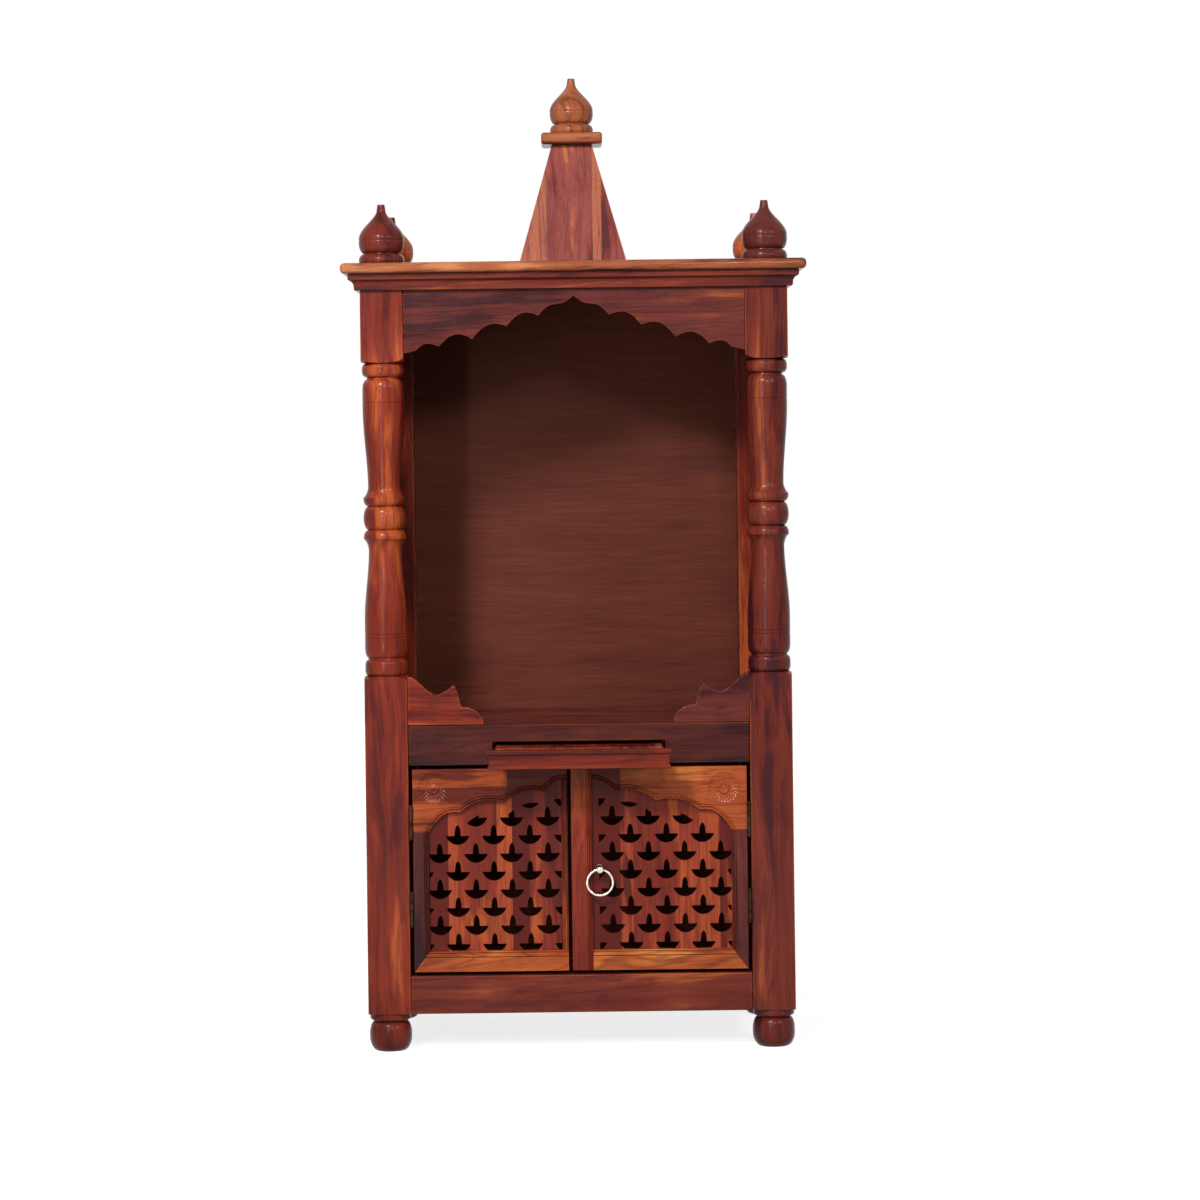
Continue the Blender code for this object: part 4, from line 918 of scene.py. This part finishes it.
# %% Turn the posts
def square_bar(name, low, high):
    """A bar with small rounded arrises between two corners, its rounded faces marked for wear and painted
    highlight.
    """
    mesh = bpy.data.meshes.new(name)
    shape = bmesh.new()
    bmesh.ops.create_cube(shape, size=1.0)
    size = [b - a for a, b in zip(low, high)]
    middle = [(a + b) / 2 for a, b in zip(low, high)]
    bmesh.ops.scale(shape, vec=size, verts=shape.verts)
    bmesh.ops.translate(shape, vec=middle, verts=shape.verts)
    shape.to_mesh(mesh)
    shape.free()
    bar = loose_object(name, mesh)
    for marker in (None, None):
        mesh.materials.append(marker)
    bevel = bar.modifiers.new("Arrises", "BEVEL")
    bevel.width = 1.5 * MM
    bevel.segments = 3
    bevel.material = 1
    return bar


def turned_post(node, turned_middle):
    """A square bar with eased corners, cut with its turned shape."""
    low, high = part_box(node)
    over = high[2] + 0.01
    profile = foot_profile() + (middle_profile() if turned_middle else [])
    profile += [(CLEAR_R, over), (0.0, over)]
    cutter = lathe(node + "_lathe", profile, ((low[0] + high[0]) / 2, (low[1] + high[1]) / 2, 0.0))
    bar = square_bar(node + "_bar", (low[0], low[1], -0.01), high)
    cut = bar.modifiers.new("Turned", "BOOLEAN")
    cut.operation = "INTERSECT"
    cut.object = cutter
    cut.solver = "EXACT"
    mesh = marked(plain_mesh(bar, node + "_turned"))
    bpy.data.objects.remove(cutter)
    return mesh


# Each post's stain, its seed, and whether its middle is turned.
POSTS = {
    "front_left": ("red", 651, True),
    "front_right": ("brown", 652, True),
    "rear_left": ("red", 53, False),
    "rear_right": ("red", 54, False),
}
for corner, (stain, seed, turned_middle) in POSTS.items():
    node = "post_" + corner
    woods[node] = sheesham("Sheesham_" + node, stain, "Z", seed, 0.24)
    piece = show(node + "_finish", turned_post(node, turned_middle), woods[node], "cabinet")
    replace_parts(piece, node)
    print(node, len(piece.data.polygons), "faces")

# %% [markdown]
# ## Arched rails with a carved rosette
# Each door's top rail has a small rosette near the hinge: a shallow dish of 24 flutes round a turned
# boss. The dish is a pocket cut from the rail. One flute is modelled, and a tree of geometry nodes
# repeats it round the middle, since that is how a carver works: one gouge, turned a step each time.

# %% A tree that repeats a shape round a centre
def round_tree():
    """Repeats a shape round the Y axis through a centre."""
    kinds = {"Shape": "NodeSocketObject", "Count": "NodeSocketInt", "Centre": "NodeSocketVector"}
    tree, given = new_tree("Repeat_round_a_centre", kinds | {"Material": "NodeSocketMaterial"})
    line = {"Count": given["Count"], "Start Location": given["Centre"], "Offset": (0.0, 0.0, 0.0)}
    line = add_node(tree, "GeometryNodeMeshLine", line).outputs[0]
    index = add_node(tree, "GeometryNodeInputIndex").outputs[0]
    step = add_node(tree, "ShaderNodeMath", {0: math.tau, 1: given["Count"]}, operation="DIVIDE").outputs[0]
    turn = add_node(tree, "ShaderNodeMath", {0: index, 1: step}, operation="MULTIPLY").outputs[0]
    spin = add_node(tree, "ShaderNodeCombineXYZ", {1: turn}).outputs[0]
    shape = add_node(tree, "GeometryNodeObjectInfo", {"Object": given["Shape"]}).outputs["Geometry"]
    copies = {"Points": line, "Instance": shape, "Rotation": spin}
    copies = add_node(tree, "GeometryNodeInstanceOnPoints", copies).outputs[0]
    close_tree(tree, copies, given["Material"])
    return tree


repeat_round = round_tree()
print(repeat_round.name, len(repeat_round.nodes), "nodes")

# %% One flute of the rosette
FLUTES = 24
ROSETTE_R, BOSS_R = 20.5 * MM, 8.4 * MM
DISH = 3.9 * MM  # depth at the middle, which tilts the lower flutes up to the light by 10 to 20 degrees


def flute(radius):
    """A closed wedge of the dish, hollowed along its middle, its floor at Y = 0."""
    half_turn = math.pi / FLUTES * 0.99
    rows, columns = 14, 8
    shape = bmesh.new()
    tops, floors = [], []
    for i in range(rows + 1):
        share = i / rows
        reach = BOSS_R + (radius - BOSS_R) * share
        rise = DISH * (0.985 * reach / radius) ** 2
        for j in range(columns + 1):
            side = 2 * j / columns - 1
            hollow = 0.30 * half_turn * reach * (1 - side * side) * (1 - share**5)
            turn = half_turn * side
            x, z = reach * math.sin(turn), reach * math.cos(turn)
            tops.append(shape.verts.new((x, -(rise - hollow), z)))
            floors.append(shape.verts.new((x, 0.0, z)))
    wide = columns + 1
    for i in range(rows):
        for j in range(columns):
            corners = (i * wide + j, i * wide + j + 1, (i + 1) * wide + j + 1, (i + 1) * wide + j)
            shape.faces.new([tops[c] for c in corners])
            shape.faces.new([floors[c] for c in reversed(corners)])
    rim = [j for j in range(wide)] + [(i + 1) * wide - 1 for i in range(1, rows + 1)]
    rim += [rows * wide + j for j in range(columns - 1, -1, -1)]
    rim += [i * wide for i in range(rows - 1, 0, -1)]
    for a, b in zip(rim, rim[1:] + rim[:1]):
        shape.faces.new((tops[a], floors[a], floors[b], tops[b]))
    bmesh.ops.recalc_face_normals(shape, faces=shape.faces)
    mesh = bpy.data.meshes.new("flute")
    shape.to_mesh(mesh)
    shape.free()
    return loose_object("flute", mesh)


print(FLUTES, "flutes to a rosette")

# %% The rosettes' places and bosses
ROSETTES = {"left": (-0.1916, 0.3460), "right": (0.1892, 0.3415)}
RAILS = {"left": ("heart", 1671), "right": ("honey", 272)}  # stain and seed
# A darker stave towards each rail's middle, partly a darker piece jointed in and partly painted shadow of
# the tray above: (width in mm, tone) as for the panels.
RAIL_STAVES_AND_TRAY_SHADOW = {"left": ((124, 0.46), (98, 0.03)), "right": ((38, 0.03), (180, 0.46))}
# Each boss's radii and heights in mm, above the dish's deepest point: a ring and a button inside it.
BOSSES = {
    "left": (
        (8.4, 0.3), (8.4, 0.9), (7.8, 1.5), (7.0, 1.8), (6.2, 1.6),
        (5.6, 1.1), (5.0, 1.0), (4.2, 1.5), (3.0, 2.1), (1.6, 2.4),
    ),
    "right": (
        (8.2, 0.3), (7.9, 1.2), (7.2, 1.9), (6.4, 2.1), (5.6, 1.8),
        (5.0, 1.0), (4.2, 0.35), (2.6, 0.3), (2.0, 0.8), (1.2, 1.3),
    ),
}
print("rosettes", ROSETTE_R * 2000, "mm wide")

# %% Carve the arched rails
def pocketed(node, place):
    """The rail's eased mesh with a round pocket for the rosette's dish."""
    rail = loose_object(node + "_shape", welded(node))
    sunk = [(0.0, -0.01), (ROSETTE_R, -0.01), (ROSETTE_R, DISH), (0.0, DISH)]
    pocket = lathe("pocket", sunk, steps=72)
    pocket.matrix_world = Matrix.Translation(place) @ Matrix.Rotation(-math.pi / 2, 4, "X")
    cut = rail.modifiers.new("Pocket", "BOOLEAN")
    cut.operation = "DIFFERENCE"
    cut.object = pocket
    cut.solver = "EXACT"
    mesh = eased(rail, 0.5 * MM)
    bpy.data.objects.remove(pocket)
    return mesh


for side, (x, z) in ROSETTES.items():
    node = f"door_{side}_arch_rail"
    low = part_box(node)[0]
    stain, seed = RAILS[side]
    wood = woods[node] = sheesham("Sheesham_" + node, stain, "X", seed, 0.22, RAIL_STAVES_AND_TRAY_SHADOW[side], low[0])
    mesh = pocketed(node, (x, low[1], z))
    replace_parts(show(node + "_finish", mesh, wood, "door_" + side), node)
    wedge = flute(ROSETTE_R - 0.2 * MM)
    centre = (x, low[1] + DISH - 0.1 * MM, z)
    start = bpy.data.meshes.new("start")
    start.from_pydata([(0, 0, 0)], [], [])
    values = {"Shape": wedge, "Count": FLUTES, "Centre": centre, "Material": wood}
    mesh = grown(f"rosette_{side}", start, repeat_round, values)
    bpy.data.objects.remove(wedge)
    show(f"rosette_{side}", mesh, wood, "door_" + side, 40)
    top = BOSSES[side][-1][1] + 0.1
    profile = [(0.0, 0.0), (BOSSES[side][0][0], 0.0), *BOSSES[side], (0.0, top)]
    boss = lathe("boss", [(r * MM, h * MM) for r, h in profile], steps=48)
    boss.matrix_world = Matrix.Translation(centre) @ Matrix.Rotation(math.pi / 2, 4, "X")
    show(f"rosette_boss_{side}", plain_mesh(boss, "boss"), wood, "door_" + side, 60)
    room = min(math.dist((abs(x), z), spot) for spot in lines[side][1]) - ROSETTE_R
    print(side, "rosette", round(room * 1000, 1), "mm clear of the bead")

# %% [markdown]
# ## Beads round the doors' openings
# A moulding of two beads with a hollow between them runs round each opening, cut on the edge of
# every frame piece. The solids have a plain sunk band there. The bead follows two lines: the edge of
# the opening and the outer edge of the band. A tree of geometry nodes sweeps a section between the
# two, and a float curve in it holds the section's heights, as a moulding plane's iron does. With two
# lines the section stays whole round the mitres and at the arch's cusps, where a plain sweep pinches.

# %% The bead's tree
BEAD_SECTION = (
    (0.0, 0.20), (0.05, 0.46), (0.13, 0.60), (0.21, 0.48), (0.26, 0.16), (0.32, 0.06), (0.44, 0.12),
    (0.51, 0.46), (0.58, 0.78), (0.68, 0.98), (0.78, 0.98), (0.87, 0.80), (0.93, 0.40), (1.0, 0.50),
)


def ring_of(tree, given):
    """A ring of points: its first half is the section's face, and its second half the flat back."""
    points = {0: given["Steps"], 1: 2.0}
    points = add_node(tree, "ShaderNodeMath", points, operation="MULTIPLY").outputs[0]
    ring = {"Resolution": points, "Radius": 0.001}
    ring = add_node(tree, "GeometryNodeCurvePrimitiveCircle", ring).outputs[0]
    index = add_node(tree, "GeometryNodeInputIndex").outputs[0]
    last = add_node(tree, "ShaderNodeMath", {0: points, 1: 1.0}, operation="SUBTRACT").outputs[0]
    back = add_node(tree, "ShaderNodeMath", {0: last, 1: index}, operation="SUBTRACT").outputs[0]
    nearer = add_node(tree, "ShaderNodeMath", {0: index, 1: back}, operation="MINIMUM").outputs[0]
    ends = add_node(tree, "ShaderNodeMath", {0: given["Steps"], 1: 1.0}, operation="SUBTRACT").outputs[0]
    across = add_node(tree, "ShaderNodeMath", {0: nearer, 1: ends}, operation="DIVIDE").outputs[0]
    section = add_node(tree, "ShaderNodeFloatCurve", {"Value": across})
    curve = section.mapping.curves[0]
    for at, height in BEAD_SECTION[1:-1]:
        curve.points.new(at, height)
    curve.points[0].location = BEAD_SECTION[0]
    curve.points[-1].location = BEAD_SECTION[-1]
    section.mapping.update()
    proud = add_node(tree, "ShaderNodeMath", {0: index, 1: given["Steps"]}, operation="LESS_THAN")
    for factor in (section.outputs[0], given["Height"]):
        proud = {0: proud.outputs[0], 1: factor}
        proud = add_node(tree, "ShaderNodeMath", proud, operation="MULTIPLY")
    for name, value in (("across", across), ("proud", proud.outputs[0])):
        ring = {"Geometry": ring, "Name": name, "Value": value}
        ring = add_node(tree, "GeometryNodeStoreNamedAttribute", ring, data_type="FLOAT", domain="POINT")
        ring = ring.outputs[0]
    return ring


def bead_tree():
    """Sweeps the bead's section between the lines that the start mesh holds as inner and outer."""
    kinds = {"Height": "NodeSocketFloat", "Steps": "NodeSocketInt", "Material": "NodeSocketMaterial"}
    tree, given = new_tree("Bead_between_two_lines", kinds)
    path = add_node(tree, "GeometryNodeMeshToCurve", {0: given["Geometry"]}).outputs[0]
    swept = {0: path, 1: ring_of(tree, given), "Fill Caps": True}
    swept = add_node(tree, "GeometryNodeCurveToMesh", swept).outputs[0]
    read = {}
    kinds = {"inner": "FLOAT_VECTOR", "outer": "FLOAT_VECTOR", "across": "FLOAT", "proud": "FLOAT"}
    for name, kind in kinds.items():
        held = add_node(tree, "GeometryNodeInputNamedAttribute", {"Name": name}, data_type=kind)
        read[name] = held.outputs[0]
    place = {0: read["across"], 4: read["inner"], 5: read["outer"]}
    place = add_node(tree, "ShaderNodeMix", place, data_type="VECTOR").outputs[1]
    out = add_node(tree, "ShaderNodeMath", {0: read["proud"], 1: -1.0}, operation="MULTIPLY").outputs[0]
    out = add_node(tree, "ShaderNodeCombineXYZ", {1: out}).outputs[0]
    place = add_node(tree, "ShaderNodeVectorMath", {0: place, 1: out}).outputs[0]
    moved = add_node(tree, "GeometryNodeSetPosition", {"Geometry": swept, "Position": place}).outputs[0]
    close_tree(tree, moved, given["Material"])
    return tree


bead = bead_tree()
print(bead.name, len(bead.nodes), "nodes,", len(BEAD_SECTION), "heights in the section")

# %% The beads' lines
def door_lines(side, sign):
    """For each piece of a door's frame, the inner and the outer line of its bead, as (x, z) points."""
    parts = ("outer_stile", "bottom_rail", "meeting_stile", "arch_rail")
    stile, rail, meeting, arch = (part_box(f"door_{side}_{part}") for part in parts)
    stile_in = min(abs(stile[0][0]), abs(stile[1][0]))
    stile_out = stile_in + BAND_W
    rail_end = min(abs(rail[0][0]), abs(rail[1][0]))
    meeting_in = max(sign * meeting[0][0], sign * meeting[1][0])
    meeting_out = meeting_in - BAND_W
    rail_top = rail[1][2]
    rail_low = rail_top - RAIL_BAND_W
    arch_low = arch[0][2]
    foot, head = meeting[0][2], meeting[1][2]
    upright = ((stile_in, rail_top), (stile_in, arch_low)), ((stile_out, rail_low), (stile_out, arch_low))
    level = ((rail_end, rail_top), (stile_in, rail_top)), ((rail_end, rail_low), (stile_out, rail_low))
    middle = ((meeting_in, foot), (meeting_in, head)), ((meeting_out, foot), (meeting_out, head))
    return dict(zip(parts, (upright, level, middle, lines[side])))


print("bands", BAND_W * 1000, "and", RAIL_BAND_W * 1000, "mm wide")

# %% Sweep the beads
for side, sign in (("left", -1), ("right", 1)):
    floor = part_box(f"door_{side}_outer_stile")[0][1] + BAND_D
    for part, (inner, outer) in door_lines(side, sign).items():
        start = bpy.data.meshes.new("path")
        steps = [(i, i + 1) for i in range(len(inner) - 1)]
        start.from_pydata([(sign * x, floor, z) for x, z in inner], steps, [])
        for name, line in (("inner", inner), ("outer", outer)):
            held = start.attributes.new(name, "FLOAT_VECTOR", "POINT")
            held.data.foreach_set("vector", [value for x, z in line for value in (sign * x, floor, z)])
        wood = woods[f"door_{side}_{part}"]
        mesh = grown("bead", start, bead, {"Height": 3.2 * MM, "Steps": 22, "Material": wood})
        show(f"bead_{side}_{part}", mesh, wood, "door_" + side, 60)
print("eight beads swept")

# %% [markdown]
# ## Hinges and their screws
# Each leaf is held by three countersunk screws with a slotted head. One head is modelled, and a tree
# of geometry nodes puts it on points that know which way the leaf faces, and turns every slot to a
# different angle, as a joiner's screwdriver leaves them. They show when a door stands open.

# %% The screws' tree
def screw_head():
    """A low dome with a slot, its seat at Z = 0."""
    dome = [(0.0, 0.0), (2.5, 0.0), (2.5, 0.15), (2.2, 0.32), (1.6, 0.46), (0.8, 0.54), (0.0, 0.56)]
    head = lathe("screw_head", [(r * MM, z * MM) for r, z in dome], steps=24)
    mesh = bpy.data.meshes.new("slot")
    shape = bmesh.new()
    bmesh.ops.create_cube(shape, size=1.0)
    bmesh.ops.scale(shape, vec=(6 * MM, 0.7 * MM, 0.7 * MM), verts=shape.verts)
    bmesh.ops.translate(shape, vec=(0.0, 0.0, 0.56 * MM), verts=shape.verts)
    shape.to_mesh(mesh)
    shape.free()
    slot = loose_object("slot", mesh)
    cut = head.modifiers.new("Slot", "BOOLEAN")
    cut.operation = "DIFFERENCE"
    cut.object = slot
    cut.solver = "EXACT"
    mesh = plain_mesh(head, "screw_head")
    bpy.data.objects.remove(slot)
    return loose_object("screw_head", mesh)


def screws_tree():
    """Puts a shape on every point, facing along the point's own direction, each at its own turn."""
    kinds = {"Shape": "NodeSocketObject", "Seed": "NodeSocketInt", "Material": "NodeSocketMaterial"}
    tree, given = new_tree("Screws_on_points", kinds)
    facing = add_node(tree, "GeometryNodeInputNamedAttribute", {"Name": "facing"}, data_type="FLOAT_VECTOR")
    facing = facing.outputs[0]
    lean = add_node(tree, "FunctionNodeAlignRotationToVector", {"Vector": facing}, axis="Z").outputs[0]
    chance = {2: 0.0, 3: math.pi, "Seed": given["Seed"]}
    chance = add_node(tree, "FunctionNodeRandomValue", chance, data_type="FLOAT").outputs[1]
    spin = add_node(tree, "ShaderNodeCombineXYZ", {2: chance}).outputs[0]
    turn = add_node(tree, "FunctionNodeEulerToRotation", {0: spin}).outputs[0]
    both = add_node(tree, "FunctionNodeRotateRotation", {0: lean, 1: turn}, rotation_space="LOCAL")
    shape = add_node(tree, "GeometryNodeObjectInfo", {"Object": given["Shape"]}).outputs["Geometry"]
    points = add_node(tree, "GeometryNodeMeshToPoints", {0: given["Geometry"]}).outputs[0]
    copies = {"Points": points, "Instance": shape, "Rotation": both.outputs[0]}
    copies = add_node(tree, "GeometryNodeInstanceOnPoints", copies).outputs[0]
    close_tree(tree, copies, given["Material"])
    return tree


screws = screws_tree()
head = screw_head()
print(screws.name, len(screws.nodes), "nodes, head of", len(head.data.polygons), "faces")

# %% Dress the hinges and drive the screws
LEAF_T, LEAF_HALF_GAP = 1.2 * MM, 2.2 * MM  # plate, and from the pin's line to the wood
PIN_R = 2.6 * MM  # of the knuckle round the pin
SCREW_IN, STAGGER = 6.2 * MM, 1.6 * MM  # from the leaf's rear edge, and the middle screw's extra
spots = {"cabinet": [], "door_left": [], "door_right": []}
for node in [name for name in frame["nodes"] if name.startswith("hinge_")]:
    piece = dress(node, brass, 0.0002)
    low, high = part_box(node)
    sign = 1 if low[0] > 0 else -1
    inner, outer = sorted((abs(low[0]), abs(high[0])))
    side = 1 if node.endswith("post_leaf") else -1
    pin_x = outer - PIN_R if side == 1 else inner + PIN_R
    x = pin_x + side * (LEAF_HALF_GAP - LEAF_T)
    for share in (0.2, 0.5, 0.8):
        z = low[2] + (high[2] - low[2]) * share
        y = high[1] - SCREW_IN - (STAGGER if share == 0.5 else 0.0)
        spots[body_of(frame["nodes"][node])[0]].append(((sign * x, y, z), (-side * sign, 0.0, 0.0)))
for body, places in spots.items():
    start = bpy.data.meshes.new("spots")
    start.from_pydata([place for place, _ in places], [], [])
    held = start.attributes.new("facing", "FLOAT_VECTOR", "POINT")
    held.data.foreach_set("vector", [value for _, facing in places for value in facing])
    mesh = grown("screws", start, screws, {"Shape": head, "Seed": 5, "Material": brass})
    show("hinge_screws_" + body, mesh, brass, body, 30)
bpy.data.objects.remove(head)
print(sum(len(places) for places in spots.values()), "screws driven")

# %% [markdown]
# ## Ring pull
# A ball on a short stem, bored across for a ring of nickel-plated wire. Smooth round metal shows
# every facet, so both are made again with more of them: a sphere joined to a turned stem and bored
# by booleans, and a torus for the ring.

# %% Ball, stem and ring
low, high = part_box("ring_pull_knob")
ring_low, ring_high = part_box("pull_ring")
centre = Vector(((low[0] + high[0]) / 2, low[1] + 6 * MM, (low[2] + high[2]) / 2))
mesh = bpy.data.meshes.new("ball")
shape = bmesh.new()
bmesh.ops.create_uvsphere(shape, u_segments=40, v_segments=28, radius=6 * MM)
shape.to_mesh(mesh)
shape.free()
ball = loose_object("ball", mesh)
ball.matrix_world = Matrix.Translation(centre)
length = high[1] - centre.y
flare = length - 1.5 * MM
profile = [(0.0, 4.5 * MM), (3 * MM, 4.5 * MM), (3 * MM, flare)]
profile += quarter((3.2 * MM, flare), (5 * MM, length - 0.4 * MM), False, 4)
profile += [(5 * MM, length), (0.0, length)]
stem = lathe("stem", profile, steps=32)
stem.matrix_world = Matrix.Translation(centre) @ Matrix.Rotation(-math.pi / 2, 4, "X")
bore = lathe("bore", [(0.0, -0.012), (3.2 * MM, -0.012), (3.2 * MM, 0.012), (0.0, 0.012)], steps=32)
bore.matrix_world = Matrix.Translation(centre) @ Matrix.Rotation(math.pi / 2, 4, "Y")
for other, operation in ((stem, "UNION"), (bore, "DIFFERENCE")):
    cut = ball.modifiers.new(operation.title(), "BOOLEAN")
    cut.operation = operation
    cut.object = other
    cut.solver = "EXACT"
piece = show("ring_pull_knob_finish", plain_mesh(ball, "knob"), nickel, "door_right", 50)
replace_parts(piece, "ring_pull_knob")
for other in (stem, bore):
    bpy.data.objects.remove(other)

wire = (ring_high[1] - ring_low[1]) / 2
centre = [(a + b) / 2 for a, b in zip(ring_low, ring_high)]
reach = (ring_high[2] - ring_low[2]) / 2 - wire
bpy.ops.mesh.primitive_torus_add(
    major_segments=96, minor_segments=20, major_radius=reach, minor_radius=wire
)
torus = bpy.context.object
torus.matrix_world = Matrix.Translation(centre) @ Matrix.Rotation(math.pi / 2, 4, "X")
piece = show("pull_ring_finish", plain_mesh(torus, "pull_ring"), nickel, "pull_ring", 80)
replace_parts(piece, "pull_ring")
print("wire of the ring", round(wire * 2000, 1), "mm thick")

# %% [markdown]
# ## Camera
# The photograph was taken from about five metres, at the height of the niche, and stands turned by
# a little under one degree. A long lens keeps the posts nearly upright. The frame's small shift
# does what a view camera's rising front does: it moves the picture and leaves the perspective.

# %% Camera
camera_data = bpy.data.cameras.new("Camera")
camera_data.lens = 118.0
camera_data.sensor_width = 36.0
camera_data.shift_x = 0.0206
camera_data.shift_y = -0.1298
camera = bpy.data.objects.new("Camera", camera_data)
level = Matrix.Translation((0.0, -5.289, 0.794)) @ Matrix.Rotation(math.pi / 2, 4, "X")
camera.matrix_world = level @ Matrix.Rotation(math.radians(-0.7), 4, "Z")
bpy.context.scene.collection.objects.link(camera)
bpy.context.scene.camera = camera
print("lens", camera_data.lens, "mm")

# %% [markdown]
# ## Studio
# The main softbox stands in front, a little to the left and above the camera: its light falls into
# the niche at about twenty degrees, so the head and the left post shade the niche's top and left.
# Two weaker ones open the shadows, and a tall narrow one draws the long highlight that lacquer shows
# on turned posts. The surround and the floor are white to the camera and in
# mirrors, but give off little light themselves, so that dark wood stays dark.

# %% Surround
def straight_or_mirrored(tree):
    """1 for what the camera sees, straight, in a mirror or through glass, and 0 for lighting."""
    rays = add_node(tree, "ShaderNodeLightPath").outputs
    seen = rays["Is Camera Ray"]
    for kind in ("Is Glossy Ray", "Is Transmission Ray"):
        seen = add_node(tree, "ShaderNodeMath", {0: seen, 1: rays[kind]}, operation="MAXIMUM").outputs[0]
    return seen


bpy.context.scene.view_settings.view_transform = "Standard"
world = bpy.data.worlds.new("Studio")
bpy.context.scene.world = world
world.use_nodes = True
tree = world.node_tree
tree.nodes.clear()
lit = {"Color": linear("#f4f2ef"), "Strength": 0.14}
lit = add_node(tree, "ShaderNodeBackground", lit).outputs[0]
shown = {"Color": linear("#ffffff"), "Strength": 1.0}
shown = add_node(tree, "ShaderNodeBackground", shown).outputs[0]
surround = {0: straight_or_mirrored(tree), 1: lit, 2: shown}
surround = add_node(tree, "ShaderNodeMixShader", surround).outputs[0]
add_node(tree, "ShaderNodeOutputWorld", {"Surface": surround})
print("white surround")

# %% Floor
floor_mesh = bpy.data.meshes.new("Floor")
shape = bmesh.new()
bmesh.ops.create_grid(shape, x_segments=1, y_segments=1, size=6.0)
shape.to_mesh(floor_mesh)
shape.free()
floor = loose_object("Floor", floor_mesh)
paper, tree = new_material("White_paper_floor")
matt = add_node(tree, "ShaderNodeBsdfDiffuse", {"Color": linear("#8a8a8a")}).outputs[0]
pale = add_node(tree, "ShaderNodeBsdfDiffuse", {"Color": linear("#e8e8e8")}).outputs[0]
# The glow grows with the distance, so that the floor meets the surround without a line.
spot = add_node(tree, "ShaderNodeTexCoord").outputs["Object"]
distance = add_node(tree, "ShaderNodeVectorMath", {0: spot}, operation="LENGTH").outputs["Value"]
strength = {"Value": distance, "From Min": 0.5, "From Max": 2.5, "To Min": 0.80, "To Max": 1.0}
strength = add_node(tree, "ShaderNodeMapRange", strength).outputs["Result"]
glow = {"Color": linear("#ffffff"), "Strength": strength}
glow = add_node(tree, "ShaderNodeEmission", glow).outputs[0]
lifted = add_node(tree, "ShaderNodeAddShader", {0: pale, 1: glow}).outputs[0]
surface = {0: straight_or_mirrored(tree), 1: matt, 2: lifted}
surface = add_node(tree, "ShaderNodeMixShader", surface).outputs[0]
add_node(tree, "ShaderNodeOutputMaterial", {"Surface": surface})
floor_mesh.materials.append(paper)
print("floor")

# %% Lamps
def softbox(name, place, aim, width, height, watts):
    """A rectangular lamp that faces a point."""
    data = bpy.data.lights.new(name, "AREA")
    data.shape = "RECTANGLE"
    data.size = width
    data.size_y = height
    data.energy = watts
    lamp = bpy.data.objects.new(name, data)
    turn = (Vector(aim) - Vector(place)).to_track_quat("-Z", "Y").to_matrix().to_4x4()
    lamp.matrix_world = Matrix.Translation(place) @ turn
    bpy.context.scene.collection.objects.link(lamp)


softbox("Main_high", (-0.9, -2.6, 2.35), (0, 0, 0.75), 0.42, 0.42, 86)
softbox("Front", (0.5, -4.4, 2.3), (0, 0, 0.7), 0.45, 0.45, 42)
softbox("Right", (2.2, -3.0, 2.2), (0, 0, 0.7), 0.7, 0.7, 28)
softbox("Strip_left", (-0.95, -3.0, 1.0), (0, 0, 0.8), 0.10, 1.7, 22)
print("four softboxes")
